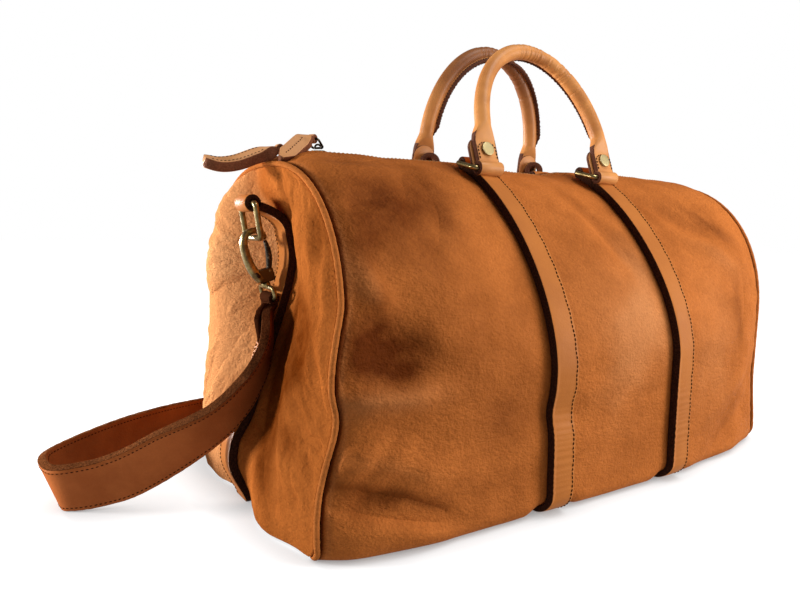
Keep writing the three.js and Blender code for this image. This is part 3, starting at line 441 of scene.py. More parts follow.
def uneven(u, v, size, seed):
    """Lattice noise between -1 and 1: random heights at cell corners, eased between them."""
    heights = np.random.RandomState(seed).uniform(-1, 1, (64, 64))
    a, b = (u + 0.3 * v) / size, (v - 0.3 * u) / size
    i, j = np.floor(a).astype(int), np.floor(b).astype(int)
    across, up = smoothstep(a - i, 0, 1), smoothstep(b - j, 0, 1)
    low = mix(heights[i % 64, j % 64], heights[(i + 1) % 64, j % 64], across)
    high = mix(heights[i % 64, (j + 1) % 64], heights[(i + 1) % 64, (j + 1) % 64], across)
    return mix(low, high, up)


def base_lift(x):
    """The base rises over the two straps that cross under it."""
    past = np.abs(np.abs(x) - STRAP_X) - STRAP_WIDE / 2
    return STRAP_LIFT * (1 - smoothstep(past, 0, LIFT_RAMP))


def flare(x, z):
    """The ends sag outward near the floor."""
    near = smoothstep(np.abs(x), FLARE_FROM, SEAM_X)
    return FLARE_OUT * near * (1 - smoothstep(z, 0, FLARE_BELOW))


def section(x, t):
    """Half section: t 0 to 1 a superellipse shoulder, 1 to 2 the side, 2 to 3 the round corner."""
    half, waist, top, shoulder, foot = (
        along(SECTIONS, "x", column, x) for column in ("half", "waist", "top", "shoulder", "foot"))
    lift = base_lift(x)
    turn = np.arccos((ZIP_HALF / half) ** (shoulder / 2)) * (1 - np.clip(t, 0, 1))
    fall = np.clip(t - 1, 0, 1)
    arc = np.clip(t - 2, 0, 1) * np.pi / 2
    y = np.select(
        [t <= 1, t <= 2],
        [half * np.cos(turn) ** (2 / shoulder), mix(half, foot + CORNER, fall ** 2)],
        foot + CORNER * np.cos(arc))
    z = np.select(
        [t <= 1, t <= 2],
        [waist + (top - waist) * np.sin(turn) ** (2 / shoulder), mix(waist, CORNER + lift, fall)],
        lift + CORNER * (1 - np.sin(arc)))
    sag = CROWN_SAG * (1 - smoothstep(np.abs(x - 4), 26, 56)) * bell(y, 0, 48) * (t < 1)
    return y, z - sag


def form(side, x, t):
    """The smooth skin of a long panel, its ends flared near the floor and its left seam swung out."""
    y, z = section(x, np.clip(t, 0, 3))
    drift = along(SEAM_DRIFT, "z", "out", z) * smoothstep(-x, 170, SEAM_X) ** 2 * (side < 0)
    return np.stack([x + np.sign(x) * flare(x, z) - drift, side * y, z], -1)


def skin(side, x, t, height=0.0, creased=False):
    """Smooth skin sunk by its dents along its own normal, then raised by a height; also the normal."""
    x, t = np.broadcast_arrays(np.asarray(x, float), np.asarray(t, float))
    step = 0.01
    place = form(side, x, t)
    normal = side * unit(np.cross(
        form(side, x + step, t) - form(side, x - step, t), form(side, x, t + step) - form(side, x, t - step)))
    from_seam = SEAM_X - np.abs(x)
    depth = relief(DENTS[side], x, place[..., 2]) * smoothstep(from_seam, 0, DENT_FADE)
    if creased:
        depth = depth + panel_creases(side, x, place[..., 2], t)
    return place + normal * (height - depth)[..., None], normal


def panel_creases(side, x, z, t):
    """Fine folds, a seam pinched in beside the piping, and puckers that run off the seam."""
    from_seam = SEAM_X - np.abs(x)
    depth = relief(CREASES[side], x, z) * smoothstep(from_seam, 0, 6)
    girth = 100 * t
    pucker = np.sin(girth * 0.55 + 1.7 * np.sin(girth * 0.13)) * np.exp(-from_seam / 11)
    depth = depth + 0.35 * pucker * smoothstep(from_seam, 0, 5)
    wrinkles = {
        -1: (
            scattered(3, 26, (-216, 150), (18, 60), 10),
            scattered(5, 22, (-212, 66), (22, 26), 4),
            scattered(7, 30, (-140, 70), (50, 34), 0, depth=0.28),
            scattered(9, 16, (-120, 150), (44, 30), 60, depth=0.22),
            scattered(11, 20, (10, 84), (44, 30), 8, depth=0.25),
            scattered(13, 24, (180, 130), (34, 70), 30, depth=0.3),
            scattered(17, 16, (160, 216), (40, 26), -40, depth=0.4),
        ),
        1: (scattered(19, 40, (0, 100), (200, 60), 10, depth=0.3),),
    }[side]
    for folds in wrinkles:
        depth = depth + relief(folds, x, z) * smoothstep(from_seam, 0, 6)
    swell = 0.5 * np.sin(x * 0.041 + 0.6) * np.sin(z * 0.052 + 0.9 * np.sin(x * 0.017))
    depth = depth + swell * smoothstep(from_seam, 0, 30)
    pinch = bell(from_seam, 0, 5) * (1 - smoothstep(t, 2.2, 2.8))
    bank = -0.4 * bell(from_seam, 13, 8) * (1 - smoothstep(t, 2.0, 2.8))
    run = np.interp(t, (0, 1, 2, 3), (0, 210, 320, 340))
    rough = 0.9 * uneven(x, run, 27, 61) + 0.36 * uneven(x, run, 12, 67) + 0.14 * uneven(0.7 * x, run, 6, 71)
    rough = rough * (0.5 + 0.6 * np.exp(-from_seam / 55)) * smoothstep(from_seam, 0, 9)
    return depth + pinch + bank + rough * (1 - smoothstep(t, 2.4, 2.9))


def shoulder_at(x, y):
    """The place on the shoulder, as t, that lies y from the middle."""
    half, shoulder = along(SECTIONS, "x", "half", x), along(SECTIONS, "x", "shoulder", x)
    full = np.arccos((ZIP_HALF / half) ** (shoulder / 2))
    return 1 - np.arccos((y / half) ** (shoulder / 2)) / full


def crown_height(x, y):
    """Height of the smooth crown over a point."""
    x = np.asarray(x, float)
    y = np.maximum(np.abs(y), ZIP_HALF)
    return section(x, shoulder_at(x, y))[1]


def end_outline(side, t, inset):
    """Half width and height of an end's edge, set in along the section's flat normal."""
    place, normal = skin(1, np.full(np.shape(t), side * SEAM_X), t)
    flat = unit(normal * np.array([0, 1, 1]))
    return place[..., 1] - flat[..., 1] * inset, place[..., 2] - flat[..., 2] * inset


def end_out(side, y, half_wide, z):
    """Distance of an end panel's face from the middle: seam, flare, puff and the strap's groove."""
    beyond = np.maximum(0, np.abs(y) - GROOVE_FLAT)
    part = np.sign(y) * beyond / np.maximum(half_wide - GROOVE_FLAT, 0.5)
    rim = 1 - np.clip(np.abs(part), 0, 1) ** 4
    bulge = along(END_FOLDS, "z", "bulge", z) * rim * (1 + SKEW[side] * part)
    valley = bell(z, 135, 52)
    spread = np.where(y < 0, 42.0 + 20.0 * valley * (side < 0), 27.0)
    groove = along(END_FOLDS, "z", "groove", z) * bell(beyond, 0, spread)
    drift = along(SEAM_DRIFT, "z", "out", z) * np.clip(-part, 0, 1) ** 3 * (side < 0)
    tuck = TUCK * (1 - smoothstep(z, 0, 36)) * rim * bell(y, 0, 26)
    slump = SLUMP * (1 - smoothstep(z, 8, 66)) * bell(y, side * 70, 36)
    return END_FACE + flare(SEAM_X, z) + bulge - groove * rim + drift + slump * rim - tuck


def end_creases(y, half_wide, z):
    """Folds of an end panel, fading at its rim and under its strap."""
    free = smoothstep(half_wide - np.abs(y), 0, 10) * smoothstep(np.abs(y), 12, 20)
    depth = relief(END_CREASES, y, z)
    for folds in (
        scattered(23, 190, (74, 180), (46, 56), 12, 9.0, 2.0, 0.7),
        scattered(29, 150, (64, 104), (46, 50), -45, 9.0, 2.0, 0.8),
        scattered(31, 110, (-92, 74), (30, 44), 50, 9.0, 2.0, 0.7),
        scattered(37, 40, (-86, 190), (30, 50), 80, depth=0.35, wide=2.0),
    ):
        depth = depth + relief(folds, y, z)
    rough = 0.9 * uneven(y, z, 19, 73) + 0.5 * uneven(y, z, 8, 79) + 0.22 * uneven(0.8 * y, 1.2 * z, 4.5, 83)
    return (depth + rough) * free


# Meshes from grids

def face_grid(rows, columns, wrap_rows=False, wrap_columns=False):
    """Quads between neighbouring points of a grid, as indices."""
    i = np.arange(rows if wrap_rows else rows - 1)[:, None]
    j = np.arange(columns if wrap_columns else columns - 1)[None, :]
    k, m = (i + 1) % rows, (j + 1) % columns
    quads = np.stack(np.broadcast_arrays(
        i * columns + j, i * columns + m, k * columns + m, k * columns + j), -1)
    return quads.reshape(-1, 4)


def signed_volume(points, faces):
    """Six times the volume inside faces, each cut in a fan from its first corner."""
    total = 0.0
    for group in faces:
        a = points[group[:, 0]]
        for k in range(1, group.shape[1] - 1):
            total += np.einsum("ij,ij->", a, np.cross(points[group[:, k]], points[group[:, k + 1]]))
    return total


def build(name, points, faces, closed=True, **attributes):
    """One smooth mesh object from millimetre points, faces of equal-count groups and point values."""
    points = np.asarray(points, float).reshape(-1, 3) * MM
    if closed and signed_volume(points, faces) < 0:
        faces = [group[:, ::-1] for group in faces]
    mesh = bpy.data.meshes.new(name)
    corners = np.concatenate([group.ravel() for group in faces]).astype(np.int32)
    counts = np.concatenate([np.full(len(group), group.shape[1]) for group in faces])
    mesh.vertices.add(len(points))
    mesh.vertices.foreach_set("co", points.astype(np.float32).ravel())
    mesh.loops.add(len(corners))
    mesh.loops.foreach_set("vertex_index", corners)
    mesh.polygons.add(len(counts))
    mesh.polygons.foreach_set("loop_start", np.concatenate([[0], np.cumsum(counts)[:-1]]).astype(np.int32))
    mesh.update(calc_edges=True)
    mesh.polygons.foreach_set("use_smooth", np.ones(len(counts), dtype=bool))
    for key, values in attributes.items():
        layer = mesh.attributes.new(key, "FLOAT", "POINT")
        layer.data.foreach_set("value", np.broadcast_to(values, len(points)).astype(np.float32).ravel())
    made = bpy.data.objects.new(name, mesh)
    bpy.context.scene.collection.objects.link(made)
    return made


def wall(name, outer, inner, **attributes):
    """A closed wall between two grids of equal shape, joined round the rim."""
    rows, columns = outer.shape[:2]
    count = rows * columns
    sheet = face_grid(rows, columns)
    rim = np.concatenate([
        np.arange(columns - 1), np.arange(rows - 1) * columns + columns - 1,
        count - 1 - np.arange(columns - 1), (rows - 1 - np.arange(rows - 1)) * columns])
    after = np.roll(rim, -1)
    edge = np.stack([after, rim, rim + count, after + count], -1)
    points = np.concatenate([outer.reshape(-1, 3), inner.reshape(-1, 3)])
    values = {key: np.tile(np.broadcast_to(value, (rows, columns)).ravel(), 2)
              for key, value in attributes.items()}
    return build(name, points, [sheet, sheet[:, ::-1] + count, edge], **values)


def swept(rings, closed=False):
    """Points and faces of a body carried through rings, capped unless it closes on itself."""
    rows, columns = rings.shape[:2]
    faces = [face_grid(rows, columns, wrap_rows=closed, wrap_columns=True)]
    if not closed:
        first = np.arange(columns)[::-1][None, :]
        last = (rows - 1) * columns + np.arange(columns)[None, :]
        faces.append(np.concatenate([first, last]))
    return rings.reshape(-1, 3), faces


def sweep(name, rings, closed=False, **attributes):
    """A closed body carried through rings."""
    return build(name, *swept(rings, closed), **attributes)


def joined(name, bodies, **attributes):
    """One mesh of closed bodies, each turned outward first; a short attribute repeats over its body."""
    points, faces, start = [], [], 0
    for body_points, body_faces in bodies:
        if signed_volume(body_points, body_faces) < 0:
            body_faces = [group[:, ::-1] for group in body_faces]
        points.append(body_points)
        faces.extend(group + start for group in body_faces)
        start += len(body_points)
    values = {
        key: np.concatenate([np.resize(part, len(body)) for part, body in zip(parts, points)])
        for key, parts in attributes.items()}
    return build(name, np.concatenate(points), faces, closed=False, **values)


def tangents(path, closed=False):
    """Unit directions along a path from each point's neighbours."""
    if closed:
        return unit(np.roll(path, -1, 0) - np.roll(path, 1, 0))
    padded = np.concatenate([path[:1], path, path[-1:]])
    return unit(padded[2:] - padded[:-2])


def oval(half_u, half_v, exponent, sides):
    """Superellipse offsets: sign(cos)|cos|^(2/n), sign(sin)|sin|^(2/n), for one size or one a ring."""
    angle = np.arange(sides) * 2 * np.pi / sides
    power = 2 / np.asarray(exponent, float)[..., None]
    return [np.sign(turn) * np.abs(turn) ** power * np.asarray(half, float)[..., None]
            for turn, half in ((np.cos(angle), half_u), (np.sin(angle), half_v))]


def rings_on(path, u_axis, v_axis, u, v):
    """Rings of offsets u and v laid on a path's two side axes; one axis or ring may serve every point."""
    u_axis, v_axis = (np.broadcast_to(axis, path.shape)[:, None] for axis in (u_axis, v_axis))
    return path[:, None] + u[..., None] * u_axis + v[..., None] * v_axis


def tube(path, facing, radius, sides=14, closed=False):
    """Rings of a round wire along a flat path; facing is the plane's normal."""
    return rings_on(path, np.cross(tangents(path, closed), facing), facing, *oval(radius, radius, 2.0, sides))


def round_frame(centre, u_axis, v_axis, half_u, half_v, corner, steps=8):
    """A rectangle with round corners as a closed path in a plane."""
    angle = np.concatenate([np.linspace(k, k + 1, steps) for k in range(4)]) * np.pi / 2
    quarter = np.repeat(np.arange(4), steps)
    sign_u = np.where((quarter == 0) | (quarter == 3), 1, -1)
    sign_v = np.where(quarter < 2, 1, -1)
    a = sign_u * (half_u - corner) + corner * np.cos(angle)
    b = sign_v * (half_v - corner) + corner * np.sin(angle)
    return centre + a[:, None] * u_axis + b[:, None] * v_axis


def spline(points, steps, alpha=0.5):
    """Catmull-Rom through points with knots spaced by distance^alpha; also the row place of each sample."""
    points = np.asarray(points, float)
    padded = np.concatenate([2 * points[:1] - points[1:2], points, 2 * points[-1:] - points[-2:-1]])
    place = np.linspace(0, len(points) - 1, steps)
    i = np.minimum(place.astype(int), len(points) - 2)
    w = (place - i)[:, None]
    p0, p1, p2, p3 = (padded[i + k] for k in range(4))
    d0, d1, d2 = (np.maximum(np.linalg.norm(b - a, axis=-1, keepdims=True) ** alpha, 1e-4)
                  for a, b in ((p0, p1), (p1, p2), (p2, p3)))
    m1 = ((p1 - p0) / d0 - (p2 - p0) / (d0 + d1) + (p2 - p1) / d1) * d1
    m2 = ((p2 - p1) / d1 - (p3 - p1) / (d1 + d2) + (p3 - p2) / d2) * d1
    curve = (p1 + m1 * w + (3 * (p2 - p1) - 2 * m1 - m2) * w ** 2 + (2 * (p1 - p2) + m1 + m2) * w ** 3)
    return curve, place


def run_length(path):
    """Distance along a path at each of its points."""
    return np.concatenate([[0], np.cumsum(np.linalg.norm(np.diff(path, axis=0), axis=1))])


def resample(values, at, stops):
    """Columns of values read at other places along a path."""
    return np.stack([np.interp(stops, at, values[:, k]) for k in range(values.shape[1])], -1)


def evenly(path, steps, *others):
    """A path and what goes with it, at even distances."""
    at = run_length(path)
    stops = np.linspace(0, at[-1], steps)
    return [resample(values, at, stops) for values in (path, *others)]


def ribbon_section(half_wide, thick, faces=9, round_by=0.8):
    """Offsets round a strap's section, from its left outer corner; edge is 1 on the two cut sides."""
    arc = np.linspace(0, np.pi / 2, 4)
    corner_out, corner_down = round_by * np.sin(arc), round_by * np.cos(arc)
    top = np.linspace(-half_wide + round_by, half_wide - round_by, faces)
    right_a = half_wide - round_by + corner_out
    right_b = thick - round_by + corner_down
    low_a = half_wide - round_by + corner_down
    low_b = round_by - corner_out
    a = np.concatenate([top[:-1], right_a, low_a, -low_a[::-1], -right_a[::-1]])
    b = np.concatenate([np.full(faces - 1, thick), right_b, low_b, low_b[::-1], right_b[::-1]])
    mark = np.array([0.0, 0.3, 1.0, 1.0])
    edge = np.concatenate([np.zeros(faces - 1), mark, mark[::-1], mark, mark[::-1]])
    return a, b, edge


def stretched(a, half, inner):
    """Section offsets of a unit-wide ribbon moved out to a half width, its corners kept as they are."""
    corner = np.sign(a) * (half - (1 - np.abs(a)))
    return np.where(np.abs(a) > inner + 1e-6, corner, (half - (1 - inner)) * a / inner)


def around(axis, side, sides):
    """Unit directions round an axis: cos * side + sin * (axis x side)."""
    angle = np.arange(sides) * 2 * np.pi / sides
    return np.cos(angle)[:, None] * side + np.sin(angle)[:, None] * np.cross(axis, side)


def turned(profile, sides, origin, axis, side):
    """A profile of radius and height turned about an axis, capped at both ends."""
    profile = np.asarray(profile, float)
    rings = origin + profile[:, None, :1] * around(axis, side, sides)[None] + profile[:, None, 1:] * axis
    return swept(rings)


def bush(centre, axis, side, bore, radius, half_wide, sides=28):
    """A short tube of leather round a bar, as rings round its axis, with the mark of its cut ends."""
    soft, bevel = 0.7, 0.21
    profile = np.array([
        (bore, -half_wide), (radius - soft, -half_wide), (radius - bevel, -half_wide + bevel),
        (radius, -half_wide + soft), (radius, half_wide - soft),
        (radius - bevel, half_wide - bevel), (radius - soft, half_wide), (bore, half_wide)])
    mark = np.array([1.0, 1.0, 0.6, 0.0, 0.0, 0.6, 1.0, 1.0])
    rings = centre + profile[None, :, :1] * around(axis, side, sides)[:, None] + profile[None, :, 1:] * axis
    return (rings.reshape(-1, 3), [face_grid(sides, len(profile), True, True)]), mark


# Shader maths

class Value:
    """An output socket that takes part in Python arithmetic."""

    def __init__(self, nodes, socket):
        self.nodes, self.socket = nodes, socket

    def _math(self, operation, other):
        return self.nodes.node("ShaderNodeMath", {"operation": operation}, {0: self, 1: other})

    def __add__(self, other):
        return self._math("ADD", other)

    __radd__ = __add__

    def __sub__(self, other):
        return self._math("SUBTRACT", other)

    def __rsub__(self, other):
        return self * -1.0 + other

    def __mul__(self, other):
        return self._math("MULTIPLY", other)

    __rmul__ = __mul__

    def clamp(self):
        """Held between 0 and 1."""
        return self.nodes.node("ShaderNodeClamp", {}, {"Value": self})

    def spread(self, low, high):
        """Eased from 0 at low to 1 at high."""
        return self.nodes.node(
            "ShaderNodeMapRange", {"interpolation_type": "SMOOTHSTEP"},
            {"Value": self, "From Min": low, "From Max": high})


class Nodes:
    """A node tree, with one way to add any node to it."""

    def __init__(self, tree):
        self.tree = tree

    def node(self, kind, settings, inputs, output=0):
        """Any node: its settings first, then the values or links of its sockets."""
        made = self.tree.nodes.new(kind)
        for key, value in settings.items():
            setattr(made, key, value)
        for key, value in inputs.items():
            self.feed(made.inputs[key], value)
        return Value(self, made.outputs[output])

    def feed(self, socket, value):
        """A link from a Value, or a plain number, vector or colour of three parts."""
        if isinstance(value, Value):
            self.tree.links.new(value.socket, socket)
        elif socket.type == "RGBA":
            socket.default_value = (*value, 1.0)
        else:
            socket.default_value = value


class Shade(Nodes):
    """A material's nodes: one Principled shader and the patterns that feed it."""

    def __init__(self, name):
        self.material = bpy.data.materials.new(name)
        self.material.use_nodes = True
        super().__init__(self.material.node_tree)
        self.shader = self.tree.nodes["Principled BSDF"]
        self.place = self.node("ShaderNodeTexCoord", {}, {}, "Object")
        self.tones = bpy.context.scene.travel_bag

    def set(self, **inputs):
        """Sockets of the Principled shader, with spaces written as underscores."""
        for key, value in inputs.items():
            self.feed(self.shader.inputs[key.replace("_", " ")], value)

    def noise(self, size_mm, detail=3.0, rough=0.55, stretch=None):
        """Noise in Object coordinates with features of about a size in millimetres."""
        place = self.place
        if stretch:
            place = self.node("ShaderNodeMapping", {}, {"Vector": self.place, "Scale": stretch})
        return self.node(
            "ShaderNodeTexNoise", {},
            {"Vector": place, "Scale": 1 / (size_mm * MM), "Detail": detail, "Roughness": rough})

    def cells(self, size_mm):
        """Distance to the nearest of scattered cell centres, as pebbled leather grain."""
        return self.node(
            "ShaderNodeTexVoronoi", {"feature": "SMOOTH_F1"},
            {"Vector": self.place, "Scale": 1 / (size_mm * MM), "Randomness": 1.0})

    def attribute(self, name):
        """A value stored on the piece's points."""
        return self.node("ShaderNodeAttribute", {"attribute_name": name}, {}, "Fac")

    def blend(self, part, a, b, how="MIX"):
        """Two colours mixed by a part."""
        return self.node(
            "ShaderNodeMix", {"data_type": "RGBA", "blend_type": how}, {0: part, 6: a, 7: b}, 2)

    def cut_sides(self, face, edge, strands, core, fibre):
        """A face whose cut sides, where edge is 1, show strands of fibre."""
        cut = self.blend(strands, core, fibre)
        return self.blend(edge.spread(0.35, 0.65), face, cut)

    def bump(self, height, distance_mm, strength):
        """A raised surface from a height between 0 and 1."""
        return self.node(
            "ShaderNodeBump", {}, {"Height": height, "Distance": distance_mm * MM, "Strength": strength})


def body_leather(shade, gloss):
    """Soft full-grain leather: broad tones, blotches, pores, fine grain and wrinkled zones."""
    tones = shade.tones
    broad = shade.noise(95, 3).spread(0.35, 0.68)
    blotch = shade.noise(24, 4, 0.6).spread(0.38, 0.7)
    fine = shade.noise(2.2, 4, 0.65).spread(0.3, 0.72)
    dark, pale, worn, wrinkle = (shade.attribute(key) for key in ("dark", "pale", "worn", "wrinkle"))
    mottle = shade.noise(7, 4, 0.6) * 0.5 + 0.75
    # The dark mask brings painted shade and shadow, the pale mask painted highlights and sheen, the worn mask
    # wear and, on the ends, paler lit crests
    ground = shade.blend((broad * 0.2 + dark * mottle * 0.8).clamp(), tones.leather, tones.leather_deep_and_shade)
    ground = shade.blend((blotch * 0.15).clamp(), ground, tones.leather_deep_and_shade)
    ground = shade.blend((pale * 0.9 + worn * 0.5).clamp(), ground, tones.leather_pale_and_light)
    speckle = shade.node("ShaderNodeCombineColor", {}, {
        "Red": fine * 0.16 + 0.89, "Green": fine * 0.2 + 0.87, "Blue": fine * 0.2 + 0.87})
    shade.set(Base_Color=shade.blend(1.0, ground, speckle, "MULTIPLY"))
    shade.set(Roughness=shade.noise(9, 3) * 0.2 + blotch * 0.1 + 0.5, Specular_IOR_Level=gloss)
    grain = shade.cells(size("grain")) * 0.5 + shade.noise(1.2, 2) * 0.3
    folds = shade.noise(5.5, 4, 0.66, stretch=(1.0, 1.0, 1.7)) * (wrinkle * 2.2 + 0.5)
    shade.set(Normal=shade.bump(grain + folds, 1.2, 0.65))


def strap_leather(shade):
    """Firm strap leather with a waxed face, near-black cut edges and fine cross wrinkles."""
    tones = shade.tones
    edge = shade.attribute("edge")
    broad = shade.noise(40, 3).spread(0.35, 0.7)
    fine = shade.noise(1.8, 3, 0.6)
    face = shade.blend(broad * 0.5, tones.strap, tones.strap_deep)
    face = shade.blend((fine * 0.35).clamp(), face, tones.strap_deep)
    strands = shade.noise(1.3, 4, 0.7).spread(0.35, 0.75)
    shade.set(Base_Color=shade.cut_sides(face, edge, strands, tones.cut_edge, tones.cut_edge_fibre))
    shade.set(Roughness=edge * 0.4 + shade.noise(7, 3) * 0.18 + 0.42, Specular_IOR_Level=0.08)
    grain = shade.noise(1.2, 3, 0.6) * (edge * 2.0 + 0.5) + shade.noise(4.5, 3) * 0.5
    shade.set(Normal=shade.bump(grain, 0.6, 0.5))


def grip_leather(shade, tone, deep, core, fibre):
    """Handle leather, polished by hands, with creases across the bend."""
    edge, dull = shade.attribute("edge"), shade.attribute("dull")
    broad = shade.noise(26, 3).spread(0.35, 0.7)
    face = shade.blend(broad * 0.6, tone, deep)
    # Toward the edge colour by the mask: the fins' own darker tone, and painted shade on the back handle
    face = shade.blend(dull, face, shade.tones.grip_edge)
    strands = shade.noise(1.3, 4, 0.7).spread(0.35, 0.75)
    shade.set(Base_Color=shade.cut_sides(face, edge, strands, core, fibre))
    shade.set(Roughness=edge * 0.4 + shade.noise(6, 3) * 0.16 + 0.34, Specular_IOR_Level=0.18)
    grain = shade.noise(1.4, 3, 0.6) * (edge * 2.0 + 0.4) + shade.noise(5, 3) * 0.3
    shade.set(Normal=shade.bump(grain, 0.5, 0.5))


def sling_leather(shade):
    """Shoulder strap leather: red-brown, oiled, with fuzzy cut edges and a dark folded end."""
    tones = shade.tones
    edge, tail = shade.attribute("edge"), shade.attribute("tail")
    broad = shade.noise(34, 4).spread(0.3, 0.75)
    fine = shade.noise(1.6, 3, 0.65)
    face = shade.blend(broad * 0.45 + 0.1, tones.sling, tones.sling_deep)
    face = shade.blend((fine * 0.3).clamp(), face, tones.sling_deep)
    strands = shade.noise(1.1, 4, 0.75).spread(0.3, 0.62)
    face = shade.cut_sides(face, edge, strands, tones.cut_edge, tones.sling_edge)
    # Toward the folded ends' tone by the mask: the folded ends, and painted shade on the inner face and near
    # the hooks
    shade.set(Base_Color=shade.blend(tail, face, tones.sling_tail))
    shade.set(Roughness=edge * 0.3 + tail * 0.25 + shade.noise(8, 3) * 0.2 + 0.5, Specular_IOR_Level=0.0)
    shade.set(Coat_Weight=((edge + tail) * -0.3 + 0.1).clamp(), Coat_Roughness=0.42)
    grain = fine * (edge * 2.5 + tail * 1.5 + 0.5) + shade.noise(5, 3) * 0.3
    shade.set(Normal=shade.bump(grain, 0.7, 0.5))


def brass(shade):
    """Antique brass: darker in the lows and where it is aged, rubbed bright in places."""
    stain = shade.noise(5, 4, 0.6).spread(0.36, 0.66)
    stain = (stain * 0.8 + shade.attribute("aged")).clamp()
    shade.set(Base_Color=shade.blend(stain, shade.tones.brass, shade.tones.brass_dark))
    shade.set(Metallic=1.0, Roughness=shade.noise(2.5, 3) * 0.2 + stain * 0.12 + 0.2)
    shade.set(Normal=shade.bump(shade.noise(1.4, 3), 0.12, 0.4))


def rivet_brass(shade):
    """Pale rubbed brass of the rivet heads."""
    stain = shade.noise(4, 4, 0.6).spread(0.4, 0.7)
    shade.set(Base_Color=shade.blend(stain * 0.7, shade.tones.rivet, shade.tones.brass))
    shade.set(Metallic=0.75, Roughness=shade.noise(1.5, 3) * 0.16 + 0.42)


def dark_metal(shade):
    """Blackened metal of the zip and the hooks' gates."""
    rub = shade.noise(2.2, 4, 0.6).spread(0.5, 0.75)
    shade.set(Base_Color=shade.blend(rub, shade.tones.black_metal, shade.tones.rubbed_metal))
    shade.set(Metallic=1.0, Roughness=shade.noise(1.8, 3) * 0.2 + 0.25)


def thread(shade, tone):
    """Waxed thread, twisted fine."""
    shade.set(Base_Color=shade.blend(shade.noise(1.0, 2) * 0.4, tone, shade.tones.thread_wax))
    shade.set(Roughness=0.7, Specular_IOR_Level=0.0, Normal=shade.bump(shade.noise(0.5, 2), 0.15, 0.6))


def zip_cloth(shade):
    """Woven zip tape in dark brown."""
    weave = shade.node("ShaderNodeTexWave", {"wave_type": "BANDS", "bands_direction": "X"}, {
        "Vector": shade.place, "Scale": 260.0, "Distortion": 0.6}, "Fac")
    shade.set(Base_Color=shade.blend(weave * 0.5, shade.tones.tape, shade.tones.tape_pale))
    shade.set(Roughness=0.9, Normal=shade.bump(weave, 0.2, 0.6))


FINISHES = {
    "body_leather": lambda shade: body_leather(shade, gloss=0.03),
    "end_leather": lambda shade: body_leather(shade, gloss=0.0),
    "strap_leather": strap_leather,
    "grip_leather": lambda shade: grip_leather(
        shade, shade.tones.grip, shade.tones.grip_deep, shade.tones.cut_edge_fibre, shade.tones.grip_edge),
    "pull_leather": lambda shade: grip_leather(
        shade, shade.tones.pull, shade.tones.grip, shade.tones.grip_edge, shade.tones.pull_edge),
    "sling_leather": sling_leather,
    "brass": brass,
    "rivet_brass": rivet_brass,
    "dark_metal": dark_metal,
    "dark_thread": lambda shade: thread(shade, shade.tones.thread),
    "light_thread": lambda shade: thread(shade, shade.tones.thread_light),
    "zip_cloth": zip_cloth,
}
MADE = {}


def finish_of(name):
    """A material made once and then shared."""
    if name not in MADE:
        shade = Shade(name)
        FINISHES[name](shade)
        MADE[name] = shade.material
    return MADE[name]


# Pieces

def size(key):
    """A length that a user may change, in millimetres."""
    return getattr(bpy.context.scene.travel_bag, key) / MM


def place_piece(piece, finish, slot, *nodes, body="bag"):
    """Material, body and the frame nodes that the piece stands for; the slot is not used."""
    piece.data.materials.append(finish_of(finish))
    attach(piece, body)
    if nodes:
        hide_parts(*nodes)
    return piece


def sew(name, slot, lines, stitch, finish="dark_thread"):
    """Stitches along lines, each a path with its normals: spindles of five rings, their ends sunk in."""
    pitch, length, radius = stitch
    parts = []
    for path, normal in lines:
        at = run_length(path)
        stops = np.arange(pitch / 2, at[-1], pitch)
        parts.append([resample(values, at, stops) for values in (path, tangents(path), normal)])
    place, run, up = (np.concatenate(group) for group in zip(*parts))
    run, up = unit(run), unit(up)
    side = np.cross(run, up)
    forward = np.array([-0.5, -0.34, 0.0, 0.34, 0.5]) * length
    girth = np.array([0.35, 0.85, 1.0, 0.85, 0.35]) * radius
    lift = np.array([-0.45, 0.1, 0.3, 0.1, -0.45]) * radius * 2
    rings, sides = len(forward), 6
    angle = np.arange(sides) * 2 * np.pi / sides
    forward = np.repeat(forward, sides)
    sideways = (girth[:, None] * np.cos(angle)).ravel()
    upward = (lift[:, None] + girth[:, None] * np.sin(angle)).ravel()
    points = (place[:, None] + forward[None, :, None] * run[:, None]
              + sideways[None, :, None] * side[:, None] + upward[None, :, None] * up[:, None])
    quads = face_grid(rings, sides, wrap_columns=True)
    caps = np.stack([np.arange(sides)[::-1], (rings - 1) * sides + np.arange(sides)])
    starts = np.arange(len(place))[:, None, None] * rings * sides
    faces = [(quads + starts).reshape(-1, 4), (caps + starts).reshape(-1, sides)]
    return place_piece(build(name, points, faces, closed=False), finish, slot)


def rows_of(*spans):
    """Even steps over several spans joined end to end."""
    steps = [np.linspace(low, high, count, endpoint=False) for low, high, count in spans]
    return np.concatenate([*steps, [spans[-1][1]]])


